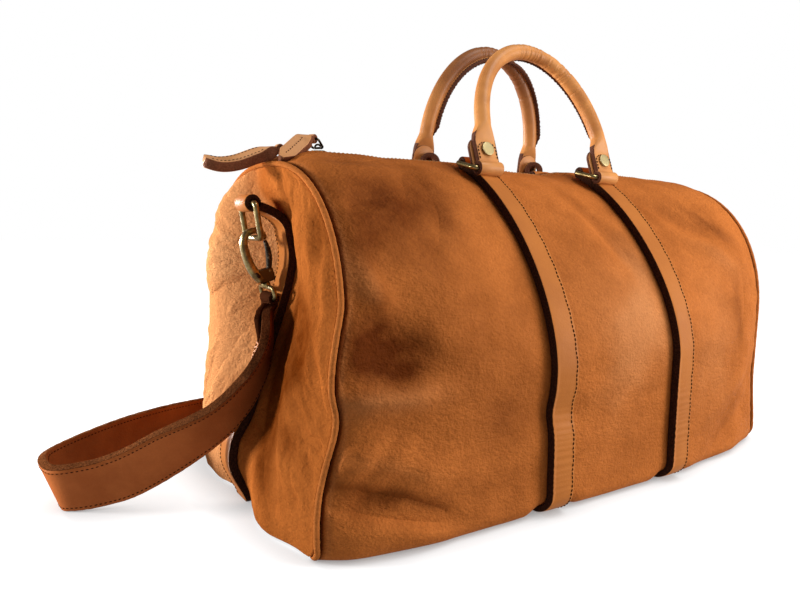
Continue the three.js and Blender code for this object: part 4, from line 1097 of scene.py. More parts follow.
def make_long_panel(side):
    """Skin over a grid of x and t, walled inward by the leather's thickness."""
    columns, shoulder_rows, side_rows = PANEL_GRID[side]
    x = np.linspace(-SEAM_X, SEAM_X, columns)[:, None]
    t = rows_of((0, 1, shoulder_rows), (1, 2, side_rows), (2, 3, 10))[None, :]
    outer, _ = skin(side, x, t, creased=True)
    inner, _ = skin(side, x, t, -WALL)
    x, z = np.broadcast_arrays(x, outer[..., 2])
    from_seam = SEAM_X - np.abs(x)
    ridge = 0.4 * np.clip(-relief(DENTS[side], x, z) / 6, 0, 1)
    wrinkle = 0.35 + 0.65 * np.exp(-from_seam / 50) + 0.4 * bell(z, 70, 40)
    warp_x = x + 9 * uneven(x, z, 24, 89) + 4 * uneven(x, z, 9, 97)
    warp_z = z + 9 * uneven(x, z, 24, 101) + 4 * uneven(x, z, 9, 103)
    # Painted shade: the patches, and a dark line in the seam's groove where the piping shades the panel
    dark = relief(PAINTED_SHADE_PATCHES, warp_x, warp_z) + 1.6 * bell(from_seam, 0, 1.6)
    # Painted highlights: the patches, and a pale lip just beside the seam
    pale = relief(PAINTED_HIGHLIGHTS, warp_x, warp_z) + 0.1 * bell(from_seam, 3.6, 1.3)
    made = wall(
        f"{FACES[side]}_skin", outer, inner, dark=dark, pale=pale, worn=ridge, wrinkle=np.clip(wrinkle, 0, 1))
    return place_piece(made, "body_leather", "leather", f"{FACES[side]}_panel")


def make_base():
    """Flat base between the seams, lifted over the straps."""
    x = np.linspace(-SEAM_X, SEAM_X, 181)[:, None]
    part = np.linspace(-1, 1, 61)[None, :]
    half = along(SECTIONS, "x", "foot", x) - 1.5 * GAP
    last = np.zeros_like(x)
    last[[0, -1]] = END_FACE - SEAM_X + END_FOLDS["bulge"][0] - TUCK
    out = np.abs(x) + flare(x, 0) + last * (1 - part ** 4)
    sag = 0.25 * (1 + np.sin(x * 0.07) * np.sin(part * 9))
    lower, upper = (
        np.stack(np.broadcast_arrays(np.sign(x) * out, part * half, base_lift(x) + sag + height), -1)
        for height in (0.0, WALL))
    made = wall("base_skin", lower, upper, dark=0.3, pale=0.0, worn=0.0, wrinkle=0.3)
    return place_piece(made, "body_leather", "leather", "base_panel")


def end_rows(side, *spans):
    """Half widths and heights of an end's outline from its foot up, set in beside the piping."""
    t = rows_of(*spans)[::-1]
    inset = mix(END_INSET, WALL + GAP, np.clip(2 * t - 5, 0, 1))
    return end_outline(side, t, inset)


def at_end(side, flat):
    """Points of the upright plane through both ends, from their distance out and their height."""
    return np.stack([side * flat[..., 0], 0 * flat[..., 0], flat[..., 1]], -1)


def make_end(side):
    """End panel over a grid of height and part of its width, puffed, grooved and creased."""
    half, z = (rows[:, None] for rows in end_rows(side, (0, 1, 130), (1, 2, 92), (2, 3, 14)))
    y = np.linspace(-1, 1, 201)[None, :] * half
    z = np.broadcast_to(z, y.shape)
    mirrored = -side * y
    smooth = end_out(side, y, half, z)
    crease = end_creases(mirrored, half, z)
    outer, inner = (np.stack([side * out, y, z], -1) for out in (smooth - crease, smooth - WALL))
    # Painted light: the back lobe is painted pale and its crests paler, as if lit with a sheen; the painted
    # shadow is left off it
    back = smoothstep(mirrored + 12 * uneven(y, z, 34, 89), -4, 40) * BACK_SHEEN_AND_WRINKLE[side]
    dark = relief(END_PAINTED_SHADOW, mirrored, z) + 0.12
    made = wall(
        f"{ENDS[side]}_end_skin", outer, inner, dark=np.clip(dark * (1 - back), 0, 1), pale=0.85 * back,
        worn=np.clip(-crease / 4, 0, 1) * back, wrinkle=0.55 + 0.9 * back)
    return place_piece(made, "end_leather", "leather", f"{ENDS[side]}_end_panel")


def make_piping(side):
    """A cord in leather along the end seam: a tube on the inset outline, from corner to corner."""
    t = rows_of((0, 1, 110), (1, 2, 60), (2, PIPE_UNTIL, 12))
    half, z = end_outline(side, t, PIPE_SINK + 0.5)
    out = SEAM_X + flare(SEAM_X, z) + GAP + PIPE_RADIUS - 1.4 * smoothstep(t, 1.8, 2.4)
    drift = along(SEAM_DRIFT, "z", "out", z) * (side < 0)
    front = np.stack([side * (out + drift), -half, z], -1)
    back = np.stack([side * out, half, z], -1)
    path = np.concatenate([front[::-1], back])
    at = run_length(path)
    wave = 1 + 0.05 * np.sin(at * 0.9) * np.sin(at * 0.23)
    wave = wave * mix(0.5, 1.0, smoothstep(np.minimum(at, at[-1] - at), 0, 8))
    rings = tube(path, X_AXIS, PIPE_RADIUS - 0.1, 14)
    rings = path[:, None] + (rings - path[:, None]) * wave[:, None, None]
    made = sweep(f"{ENDS[side]}_end_piping", rings, dark=0.25, pale=0.0, worn=0.15, wrinkle=0.2)
    return place_piece(made, "end_leather", "leather", f"{ENDS[side]}_piping")


def strap_middle(strap, side, t):
    """Straight on the front, drifting sideways as the strap climbs the back."""
    drift = DRIFT[strap] * (1 - smoothstep(t, 0, 2)) if side > 0 else 0.0
    return strap * STRAP_X + drift


def bar_places(side, strap):
    """Where the strap's loop and the handle's loop sit over the shoulder."""
    x = strap_middle(strap, side, np.array(0.0)) + 0.0
    heights = (GAP + LOOP_RADIUS, STRAP_SEAT + STRAP_THICK + 2 * GAP + LOOP_RADIUS)
    places = []
    for y, height in zip((INNER_BAR_Y, OUTER_BAR_Y), heights):
        place, _ = skin(side, x, shoulder_at(x, y), np.array(height))
        places.append(np.array([x, place[1], place[2]], float))
    return places


def make_body_strap(strap):
    """A ribbon on the skin from the front loop, under the base, to the back loop."""
    name = ENDS[strap]
    thick = STRAP_THICK + size("strap_swell")
    a, b, edge = ribbon_section(STRAP_WIDE / 2, thick, faces=11)
    start = shoulder_at(strap * STRAP_X, INNER_BAR_Y + LOOP_BORE + LOOP_CLEAR)
    halves, lines, loops, marks = [], [], [], []
    for side in (-1, 1):
        t = rows_of((start, 1, 90), (1, 2, 70), (2, 3, 14))[:, None]
        middle = strap_middle(strap, side, t)
        z = skin(side, middle, t)[0][..., 2]
        ripple = 0.22 * np.sin(z * 1.35 + 2.0 * np.sin(z * 0.21))
        ripple = ripple * smoothstep(z, 8, 24) * smoothstep(-z, -120, -60)
        fit = mix(1.0, STRAP_THICK / thick, smoothstep(t, 1.9, 2.7))
        crown = np.where(b > thick - 1, ripple, 0) - 0.35 * (a / 11) ** 2 * (b > 3)
        rings, _ = skin(side, middle + a, t, STRAP_SEAT + b * fit + crown)
        halves.append(rings[::-side])
        waver = 0.35 * np.sin(run_length(rings[:, 0]) * 0.33)
        row = np.broadcast_to(middle, t.shape)[:, 0] + STITCH_OUT + waver
        lines.append(skin(side, row, t[:, 0], STRAP_SEAT + thick * fit[:, 0] - 0.25))
        loop, mark = bush(bar_places(side, strap)[0], X_AXIS, Z_AXIS, LOOP_BORE, LOOP_RADIUS, STRAP_WIDE / 2)
        loops.append(loop)
        marks.append(mark)
    made = joined(f"{name}_strap_round_body", [swept(np.concatenate(halves)), *loops], edge=[edge, *marks])
    place_piece(made, "strap_leather", "strap_leather", f"{name}_body_strap")
    return sew(f"{name}_body_strap_stitches", "strap_leather", lines, STRAP_STITCH)


def make_end_strap(side):
    """A ribbon up the end panel's groove that curls out along a quadratic curve to its loop."""
    name = ENDS[side]
    half, z = end_rows(side, (0.02, 1, 120), (1, 2, 80), (2, 3, 16))
    half, z = half[z < CURL_FROM_Z], z[z < CURL_FROM_Z]
    climb = np.stack([end_out(side, np.zeros_like(z), half, z) + STRAP_SEAT, z], -1)
    climb[0, 1] = GAP
    u = np.linspace(0, 1, 60)[1:, None]
    curl = climb[-1] * (1 - u) ** 2 + 2 * CURL_PULL * u * (1 - u) + END_LOOP * u ** 2
    curl = curl[np.linalg.norm(curl - END_LOOP, axis=1) > LOOP_BORE + LOOP_CLEAR]
    line, = evenly(np.concatenate([climb, curl]), 150)
    run = tangents(line)
    facing = np.stack([run[:, 1], -run[:, 0]], -1)
    facing[0] = (1, 0)
    curled = smoothstep(line[:, 1], CURL_FROM_Z - 6, CURL_FROM_Z + 14)[:, None]
    path, up = at_end(side, line - facing * STRAP_THICK / 2 * curled), at_end(side, facing)
    thick = STRAP_THICK + size("end_strap_swell")
    a, b, edge = ribbon_section(STRAP_WIDE / 2, thick, faces=11)
    loop, mark = bush(
        at_end(side, END_LOOP), Y_AXIS, Z_AXIS, LOOP_BORE, LOOP_RADIUS + 1.0, STRAP_WIDE / 2)
    made = joined(
        f"{name}_strap_up_end", [swept(rings_on(path, Y_AXIS, up, a, b)), loop], edge=[edge, mark])
    place_piece(made, "strap_leather", "strap_leather", f"{name}_end_strap")
    line = path + up * (thick - 0.2) + Y_AXIS * (STITCH_OUT + 0.2)
    return sew(f"{name}_end_strap_stitches", "strap_leather", [(line, up)], END_STRAP_STITCH)


def make_ring(name, start, end, across):
    """A wire rectangle with round corners whose two long bars pass through the start and the end."""
    span = end - start
    half_long = np.linalg.norm(span) / 2
    path = round_frame((start + end) / 2, across, unit(span), RING_HALF_WIDE, half_long, RING_CORNER)
    made = sweep(f"{name}_wire_ring", tube(path, np.cross(across, unit(span)), WIRE, 16, True), True)
    return place_piece(made, "brass", "brass", f"{name}_ring")


def handle_frame(side):
    """Foot point between the rings, half reach, and the axes outward and up a handle."""
    feet = [bar_places(side, strap)[1] for strap in (-1, 1)]
    angle = np.radians(side * HANDLES[side][0])
    outward = side * np.array([0, np.cos(angle), np.sin(angle)])
    up = np.array([0, -np.sin(angle), np.cos(angle)])
    return (feet[0] + feet[1]) / 2, (feet[1][0] - feet[0][0]) / 2, outward, up


def handle_path(reach, rise, sway, steps):
    """Straight legs, then half an ellipse over the top, swayed sideways above the tabs."""
    leg = np.linspace(LOOP_BORE + LOOP_CLEAR, ARCH_FROM, 40, endpoint=False)
    angle = np.linspace(0, np.pi, 300)
    x = np.concatenate([np.full(len(leg), -reach), -reach * np.cos(angle), np.full(len(leg), reach)])
    z = np.concatenate([leg, ARCH_FROM + (rise - ARCH_FROM) * np.sin(angle), leg[::-1]])
    path = np.stack([x + sway * smoothstep(z, TAB_TOP, 2 * TAB_TOP), z], -1)
    return evenly(path, steps)[0]


def handle_fin(side, path, run, rise, at):
    """The seam's raw fin: a ribbon that grows out of the grip, with its mark and its two stitch lines."""
    lead = np.array(FINS[side])
    fin_up = unit(lead - np.sum(lead * run, -1, keepdims=True) * run)
    fin_side = np.cross(run, fin_up)
    a, b, _ = ribbon_section(FIN_HALF_THICK, 1.0, faces=5, round_by=0.35)
    grow = smoothstep(rise, FIN_FROM, FIN_FULL)[:, None]
    ragged = 0.3 * np.sin(at * 1.9 + 2 * np.sin(at * 0.37))[:, None] * (b > 0.8)
    height = GRIP_RADIUS - 1.5 + (FIN_ROOT + size(f"{FACES[side]}_fin") * grow) * b + ragged
    body = swept(rings_on(path, fin_up, fin_side, height, a))
    clear = rise > FIN_FULL
    seam, beside = path + fin_up * (GRIP_RADIUS + 1.0), FIN_HALF_THICK - 0.05
    lines = [((seam + face * beside * fin_side)[clear], (face * fin_side)[clear]) for face in (-1, 1)]
    return body, np.where(b > 0.5, 1.0, 0.25), lines


def make_handle(side):
    """A sweep whose section turns from a flat tab to a round grip, with a sewn fin along one side."""
    name, at_back = FACES[side], side > 0
    middle, reach, outward, up = handle_frame(side)
    flat = handle_path(reach, *HANDLES[side][1:], 520)
    rise, at = flat[:, 1], run_length(flat)
    run = tangents(flat)
    path, run, wide = (
        flat[:, :1] * X_AXIS + rise[:, None] * up + middle,
        run[:, :1] * X_AXIS + run[:, 1:] * up,
        run[:, 1:] * X_AXIS - run[:, :1] * up)
    rolled = smoothstep(rise, TAB_TOP, ROLLED_BY)
    places = at[-1] * (0.44 + 0.3 * np.random.RandomState(41).rand(30))
    crease = sum(bell(at, place, 0.9) for place in places)
    swell = 1 - 0.05 * np.clip(crease, 0, 1.3) * rolled + 0.015 * np.sin(at * 0.06)
    half_wide = mix(TAB_HALF_WIDE - 0.8, GRIP_RADIUS, rolled) * swell
    half_thick = mix(TAB_HALF_THICK, GRIP_RADIUS, rolled) * swell
    u, v = oval(half_wide, half_thick, mix(7.0, 2.0, rolled), 36)
    cut = (np.abs(u) > 0.92 * half_wide[:, None]) * (1 - smoothstep(rolled, 0.25, 0.6))[:, None]
    # Painted shade: the back handle's tabs a little darker, and its top much darker
    tab_dull = 0.15 * at_back
    grip_dull = np.broadcast_to((tab_dull + 0.6 * at_back * smoothstep(rise, 50, 108))[:, None], u.shape)
    bodies, marks, dulls = [swept(rings_on(path, wide, outward, u, v))], [cut], [grip_dull]
    feet = [middle + foot * reach * X_AXIS for foot in (-1, 1)]
    for foot in feet:
        layers = [
            bush(foot, X_AXIS, up, LOOP_BORE, LOOP_RADIUS + 0.5, TAB_HALF_WIDE), tab_back(foot, outward, up)]
        if at_back:
            layers.append(tab_roll(foot, outward, up))
        for body, mark in layers:
            bodies.append(body)
            marks.append(mark)
            dulls.append(tab_dull)
    free = rise > FIN_FROM
    fin, mark, lines = handle_fin(side, path[free], run[free], rise[free], at[free])
    made = joined(
        f"{name}_rolled_handle", [*bodies, fin], edge=[*marks, mark], dull=[*dulls, 0.3])
    place_piece(made, "grip_leather", "strap_leather", f"{name}_handle")
    lines = lines + [line for foot in feet for line in tab_lines(foot, outward, up)]
    return sew(f"{name}_handle_stitches", "strap_leather", lines, GRIP_STITCH)


def tab_lines(foot, outward, up):
    """Stitch lines on a tab's two faces: up one side, over in an arch and down the other."""
    turn = np.linspace(-1, 1, 60)[:, None]
    arch_x = (TAB_HALF_WIDE - 2.8) * np.sign(turn) * np.minimum(np.abs(turn) * 1.5, 1)
    arch_z = mix(7.0, 22.0, 1 - np.abs(turn) ** 3)
    arch = foot + arch_x * X_AXIS + arch_z * up
    return [(arch + face * (TAB_HALF_THICK + 0.1) * outward, np.broadcast_to(face * outward, arch.shape))
            for face in (-1, 1)]


def tab_roll(foot, outward, up):
    """The end of the tab turned over into a soft roll on the inner side."""
    axis = unit(0.62 * X_AXIS + 0.78 * outward)
    centre = foot + 13.5 * up - 9.5 * outward + 2 * X_AXIS
    body, _ = bush(centre, axis, up, ROLL_BORE, ROLL_RADIUS, ROLL_HALF_WIDE)
    return body, 1.0


def tab_back(foot, outward, up):
    """The tab's second layer behind the grip: a plate with a round top, walled by its thickness."""
    angle = np.linspace(0, np.pi, 25)
    half_wide = TAB_HALF_WIDE + 0.4
    outline = np.concatenate([
        [(half_wide, 2.0)], np.stack([half_wide * np.cos(angle), 18 + 11 * np.sin(angle)], -1),
        [(-half_wide, 2.0)]])
    middle = outline.mean(0)
    scale = np.array([0.94, 1.0, 1.0, 0.94])[:, None, None]
    depth = np.array([-2.0, -2.3, -4.6, -4.9])[:, None, None]
    flat = middle + (outline - middle) * scale - np.array([2.0, 0])
    rings = foot + flat[..., :1] * X_AXIS + flat[..., 1:] * up + depth * outward
    return swept(rings), np.repeat([0.0, 1.0, 1.0, 0.0], len(outline))


def make_rivet(side, foot):
    """A domed head outside, a shank and a washer inside, turned about the rivet's axis."""
    middle, reach, outward, up = handle_frame(side)
    face = TAB_HALF_THICK + GAP
    angle = np.linspace(0, 0.92, 9) * np.pi / 2
    head = RIVET_HEAD + size("rivet_swell")
    dome = np.stack([head * np.sin(angle), face + 1.2 + 0.6 * np.cos(angle) ** 0.5], -1)
    dome[0, 0] = TIP
    rim = [(head, face + 1.0), (head, face + 0.12), (head - 0.3, face - 0.2), (SHANK, face - 0.2)]
    back = [(SHANK, -face), (WASHER - 0.1, -face), (WASHER, -face - 0.5), (WASHER - 0.5, -face - 1.0),
            (TIP, -face - 1.1)]
    origin = middle + foot * reach * X_AXIS + RIVET_AT * up
    name = f"{FACES[side]}_{ENDS[foot]}_rivet"
    made = build(f"{name}_head", *turned([*dome, *rim, *back], 32, origin, outward, X_AXIS))
    return place_piece(made, "rivet_brass", "brass", name)


def hook_frame(side):
    """Origin in the ring's lower bar, the outward and upward axes, and the length to the eye's bar."""
    foot, eye = at_end(side, END_RING_FOOT), at_end(side, EYE_BAR)
    up = unit(foot - eye)
    out = np.array([side * up[2], 0, -side * up[0]])
    return foot, out, up, np.linalg.norm(foot - eye)


def hook_bar(side, places, half_wide, half_deep, exponent=3.0, sides=20):
    """An oval bar along places in the hook's plane."""
    foot, out, up, _ = hook_frame(side)
    path = foot + places[:, :1] * out + places[:, 1:] * up
    u, v = oval(half_wide, half_deep, exponent, sides)
    return swept(rings_on(path, np.cross(tangents(path), Y_AXIS), Y_AXIS, u, v))


def make_hook(side):
    """The hook's bow, the two cheeks and the core of its block, and the pin heads of its gate."""
    foot, out, up, _ = hook_frame(side)
    bow, place = spline(np.stack([BOW["a"], BOW["b"]], -1), 70)
    wide, deep = (np.interp(place, np.arange(len(BOW["a"])), BOW[key]) for key in ("wide", "deep"))
    blunt = np.sqrt(np.clip(np.minimum(np.arange(len(bow)) + 0.6, 4) / 4, 0, 1))
    bodies = [hook_bar(side, bow, wide * blunt, deep * blunt)]
    heights = np.array([BLOCK_FOOT, BLOCK_FOOT + 0.8, BLOCK_TOP - 0.8, BLOCK_TOP])
    shrink = np.array([0.85, 1.0, 1.0, 0.85])
    u, v = oval((BLOCK_RIGHT - BLOCK_LEFT) / 2 * shrink, CHEEK / 2 * shrink, 5.0, 28)
    for cheek in (1, -1):
        shift = cheek * (BLOCK_DEEP - CHEEK / 2) * Y_AXIS
        path = foot + (BLOCK_LEFT + BLOCK_RIGHT) / 2 * out + heights[:, None] * up + shift
        bodies.append(swept(rings_on(path, out, Y_AXIS, u, v)))
    core = np.array([[-1.0, BLOCK_FOOT + 0.4], [1.2, BLOCK_FOOT + 3], [2.4, BLOCK_TOP - 0.6]])
    bodies.append(hook_bar(side, core, CORE_HALF_WIDE, BLOCK_DEEP - 0.5, 4.0))
    pin_head = [(TIP, 0.45), (0.7, 0.4), (1.1, 0.2), (1.2, -0.4), (TIP, -0.5)]
    for face in (-1, 1):
        pin = foot + GATE_PIVOT[0] * out + GATE_PIVOT[1] * up + face * BLOCK_DEEP * Y_AXIS
        bodies.append(turned(pin_head, 16, pin, face * Y_AXIS, out))
    made = joined(f"{ENDS[side]}_hook_bow", bodies, aged=[0.0, 1.0, 1.0, 1.0, 0.3, 0.3])
    return place_piece(made, "brass", "brass", f"{ENDS[side]}_hook_body")


def make_gate(side):
    """The hook's sprung gate: a bowed bar that thins to its tip, on a knuckle round the pin."""
    foot, out, up, _ = hook_frame(side)
    reach = np.linspace(0, 1, 18)
    line = reach[:, None] * (GATE_TIP - GATE_PIVOT) + GATE_PIVOT
    line[:, 0] -= GATE_BOW * np.sin(np.pi * reach)
    slim = 1 - 0.3 * reach ** 2 + 0.35 * np.sin(np.pi * reach)
    bar = hook_bar(side, line, (GATE_HALF_WIDE + 0.5) * slim, GATE_HALF_DEEP * slim, 3.0, 14)
    pivot = foot + GATE_PIVOT[0] * out + GATE_PIVOT[1] * up
    deep, bevel = GATE_HALF_DEEP, 0.3
    knuckle = [(TIP, -deep), (KNUCKLE - bevel, -deep), (KNUCKLE, -deep + bevel),
               (KNUCKLE, deep - bevel), (KNUCKLE - bevel, deep), (TIP, deep)]
    made = joined(f"{ENDS[side]}_hook_sprung_gate", [bar, turned(knuckle, 20, pivot, Y_AXIS, out)])
    return place_piece(made, "dark_metal", "brass", f"{ENDS[side]}_hook_gate", body=f"{ENDS[side]}_gate")


def make_hook_slots(side):
    """A dark slot let into each side of the hook's back, as a thin bar with round ends."""
    foot, out, up, _ = hook_frame(side)
    part = np.linspace(-1, 1, 9)
    round_ends = np.sqrt(np.clip(1 - (0.97 * part) ** 4, 0.02, 1))
    u, v = oval(SLOT_HALF_WIDE * round_ends, SLOT_HALF_THICK, 2.4, 12)
    slope = unit(0.48 * out + up)
    middle = foot + SLOT_OUT * out - SLOT_DOWN * up
    bodies = []
    for face in (-1, 1):
        path = middle + face * SLOT_DEEP * Y_AXIS + SLOT_HALF_LONG * part[:, None] * slope
        bodies.append(swept(rings_on(path, np.cross(slope, Y_AXIS), Y_AXIS, u, v)))
    return place_piece(joined(f"{ENDS[side]}_hook_slots", bodies), "dark_metal", "brass")


def make_swivel(side):
    """The swivel under the hook: a post, a collar turned about it, and the wire eye for the strap."""
    foot, out, up, length = hook_frame(side)
    collar_top = BLOCK_FOOT - GAP
    eye_top = collar_top - COLLAR_TALL
    centre = foot + (eye_top - length) / 2 * up
    path = round_frame(centre, Y_AXIS, up, EYE_HALF_WIDE, (eye_top + length) / 2, EYE_CORNER)
    eye = swept(tube(path, np.cross(Y_AXIS, up), EYE_WIRE, 16, True), True)
    steps = ((2.6, 0.0), (3.3, 0.15), (COLLAR, 0.6))
    collar = ([(radius, collar_top - drop) for radius, drop in steps]
              + [(radius, eye_top + drop) for radius, drop in steps[::-1]])
    post = [(POST, BLOCK_FOOT + 4.0), (POST, eye_top)]
    made = joined(
        f"{ENDS[side]}_hook_eye", [eye, *(turned(profile, 24, foot, up, out) for profile in (collar, post))])
    return place_piece(made, "brass", "brass", f"{ENDS[side]}_hook_swivel")


def sling_frame(steps=420):
    """Even samples of the strap's line with its width axis, its face axis and half width."""
    points, wide = (np.stack([SLING_ROUTE[key] for key in keys], -1)
                    for keys in (("x", "y", "z"), ("wide_x", "wide_y", "wide_z")))
    curve, place = spline(points, 4000)
    path, wide = evenly(curve, steps, resample(wide, np.arange(len(points)), place))
    run = tangents(path)
    wide = unit(wide - np.sum(wide * run, -1, keepdims=True) * run)
    at = run_length(path)
    from_end = np.minimum(at, at[-1] - at)
    half = mix(SLING_END_HALF_WIDE, SLING_HALF_WIDE, smoothstep(from_end, SLING_TAPER_FROM, SLING_TAPER_TO))
    return path, wide, np.cross(run, wide), half, from_end


def sling_tail(path, wide, face, from_end):
    """The strap's folded end on its outer face, lifting off toward its square cut."""
    a, b, edge = ribbon_section(1.0, TAIL_THICK, faces=9, round_by=0.8)
    half = mix(SLING_END_HALF_WIDE, SLING_HALF_WIDE - 5.0, smoothstep(from_end, TAIL_FROM, 26))[:, None]
    height = b + SLING_HALF_THICK + 0.6 + 3.0 * smoothstep(from_end, 14, 36)[:, None]
    return swept(rings_on(path, wide, face, stretched(a, half, 0.5), height)), edge


def make_sling():
    """A ribbon on the strap's line, its ends looped round the eyes and folded back as short tails."""
    path, wide, face, half, from_end = sling_frame()
    half_thick = SLING_HALF_THICK + size("sling_swell")
    a, b, edge = ribbon_section(1.0, 2 * half_thick, faces=13, round_by=0.75)
    fuzz = 0.22 * np.random.RandomState(53).uniform(-1, 1, (len(path), len(a))) * edge
    reach = stretched(a, half[:, None], 0.25) + np.sign(a) * fuzz
    past_tail = smoothstep(from_end, 10, 34)
    # Darker toward each end: under the folded end, and painted shade up to 190 mm from the hooks
    worn = 1 - past_tail + 0.42 * (1 - smoothstep(from_end, 60, 190)) * past_tail
    # Painted shade on the strap's inner face
    inner = 0.55 * (b < half_thick) * (1 - edge)
    bodies = [swept(rings_on(path, wide, face, reach, b - half_thick))]
    # The mask: the folded ends, and painted shade near the hooks and on the inner face
    marks, tails = [edge], [np.clip(worn[:, None] + inner, 0, 1)]
    for side in (-1, 1):
        near = (from_end > TAIL_FROM) & (from_end < TAIL_TO) & (np.sign(path[:, 0]) == side)
        for body, mark in (
            bush(at_end(side, EYE_BAR), Y_AXIS, Z_AXIS, EYE_BORE, EYE_BORE + SLING_HALF_THICK,
                 SLING_END_HALF_WIDE),
            sling_tail(path[near], wide[near], side * face[near], from_end[near]),
        ):
            bodies.append(body)
            marks.append(mark)
            tails.append(1.0)
    made = joined("shoulder_strap_run", bodies, edge=marks, tail=tails)
    place_piece(made, "sling_leather", "sling_leather", "shoulder_strap")
    clear = from_end > SLING_STITCH_FROM
    lines = []
    for across in (-1, 1):
        for up in (-1, 1):
            row = path + wide * (across * (half - SLING_STITCH_IN))[:, None] + face * up * (half_thick - 0.08)
            lines.append((row[clear], up * face[clear]))
    return sew("shoulder_strap_stitches", "sling_leather", lines, SLING_STITCH)


def make_zip_teeth():
    """A row of teeth along the crown, each a block with a narrower top, by turns to the front and back."""
    x = np.linspace(-CHAIN_END_X, CHAIN_END_X, TEETH)
    side = np.where(np.arange(TEETH) % 2, 1.0, -1.0)
    top = crown_height(x, 0) - CHAIN_SINK
    corner = np.array([(-1, -1), (1, -1), (1, 1), (-1, 1)]) * (TOOTH_HALF_LONG, TOOTH_HALF_WIDE)
    levels = np.array([-CHAIN_THICK, -0.5, 0.0])
    shrink = np.array([1.0, 1.0, 0.7])[:, None]
    points = np.stack(np.broadcast_arrays(
        x[:, None, None] + shrink * corner[:, 0], side[:, None, None] * TOOTH_OUT + shrink * corner[:, 1],
        top[:, None, None] + levels[:, None]), -1)
    quads = np.concatenate([face_grid(3, 4, wrap_columns=True), [[3, 2, 1, 0], [8, 9, 10, 11]]])
    starts = np.arange(TEETH)[:, None, None] * 12
    made = build("zip_teeth", points, [(quads + starts).reshape(-1, 4)])
    return place_piece(made, "dark_metal", "brass", "zip_chain")


def crown_sheet(name, x, y, low, high, **attributes):
    """A thin wall that follows the crown over a grid of x and y, between two heights above it."""
    x, y = np.broadcast_arrays(x[:, None], y[None, :])
    z = crown_height(x, y)
    upper, lower = (np.stack([x, y, z + height], -1) for height in (high, low))
    return wall(name, upper, lower, **attributes)


def make_zip():
    """Teeth and tapes along the crown, covers at the ends, stitches beside the zip."""
    make_zip_teeth()
    x = np.linspace(-TAPE_END_X, TAPE_END_X, 240)
    y = np.linspace(CHAIN_HALF + GAP, TAPE_REACH, 10)
    for side, name in FACES.items():
        made = crown_sheet(f"zip_cloth_{name}", x, side * y, -TAPE_SINK - TAPE_THICK, -TAPE_SINK)
        place_piece(made, "zip_cloth", "zip_cloth", f"zip_tape_{name}")
    x, y = np.linspace(COVER_FROM_X, SEAM_X - 0.5, 10), np.linspace(-COVER_HALF, COVER_HALF, 41)
    for side, name in ENDS.items():
        made = crown_sheet(f"{name}_zip_end_cover", side * x, y, GAP, GAP + COVER_THICK,
                           dark=0.0, pale=0.3, worn=0.0, wrinkle=0.3)
        place_piece(made, "body_leather", "leather", f"{name}_zip_tab")
    x = np.linspace(-ZIP_STITCH_END_X, ZIP_STITCH_END_X, 300)
    t = shoulder_at(x, ZIP_HALF + ZIP_STITCH_OUT)
    lines = [skin(side, x, t, -0.1, True) for side in (-1, 1)]
    return sew("zip_edge_stitches", "leather", lines, ZIP_STITCH, "light_thread")


def zip_seat(x):
    """Crown point under a slider, and the directions ahead along the crown and above it."""
    fall = crown_height(x - PLATE_HALF_LONG, 0) - crown_height(x + PLATE_HALF_LONG, 0)
    pitch = float(np.arctan(fall / (2 * PLATE_HALF_LONG)))
    ahead = np.array([np.cos(pitch), 0, -np.sin(pitch)])
    return np.array([x, 0, float(crown_height(x, 0))]), ahead, np.cross(ahead, Y_AXIS)


def make_slider(number):
    """Slider plate with two cheeks and a wire bridge over it."""
    seat, ahead, above = zip_seat(SLIDERS[number]["x"])

    def plate(levels, half_long, half_wide, exponent, sides, shift=0.0):
        path = seat + np.array(levels)[:, None] * above + shift * Y_AXIS
        return swept(rings_on(path, ahead, Y_AXIS, *oval(half_long, half_wide, exponent, sides)))

    shrink = np.array([0.96, 1.0, 1.0, 0.85])
    bodies = [plate((-CHAIN_SINK + GAP, 0.2, PLATE_TOP - 0.5, PLATE_TOP),
                    PLATE_HALF_LONG * shrink, PLATE_HALF_WIDE * shrink, 3.2, 32)]
    for cheek in (-1, 1):
        bodies.append(plate((-TAPE_SINK + GAP, -1.5, 0.4), PLATE_HALF_LONG - 0.4, PLATE_CHEEK_HALF, 3.0, 20,
                            cheek * PLATE_CHEEK_OUT))
    angle = np.linspace(-0.25, np.pi + 0.25, 24)[:, None]
    arch = seat + BRIDGE_LIFT * above + BRIDGE_RADIUS * (np.cos(angle) * ahead + np.sin(angle) * above)
    bodies.append(swept(tube(arch, Y_AXIS, BRIDGE_WIRE, 12)))
    made = joined(f"zip_slider_body_{number}", bodies)
    return place_piece(made, "dark_metal", "brass", f"zip_slider_{number}")


def pull_frame(number):
    """Where a link hangs, the way it reaches, and the level directions back and across."""
    slider = SLIDERS[number]
    seat, _, above = zip_seat(slider["x"])
    yaw, tilt = np.radians(slider["yaw"]), np.radians(slider["tilt"])
    back = np.array([-np.cos(yaw), -np.sin(yaw), 0])
    across = np.array([-np.sin(yaw), np.cos(yaw), 0])
    return seat + BRIDGE_LIFT * above, back * np.cos(tilt) + Z_AXIS * np.sin(tilt), back, across


def make_link(number):
    """A wire link from the slider's bridge to its pull."""
    hold, reach, _, across = pull_frame(number)
    half = LINK_LENGTH / 2
    path = round_frame(hold + reach * half, reach, across, half, LINK_HALF_WIDE, LINK_CORNER)
    made = sweep(f"zip_link_wire_{number}", tube(path, np.cross(reach, across), LINK_WIRE, 12, True), True)
    return place_piece(made, "dark_metal", "brass", f"zip_link_{number}")


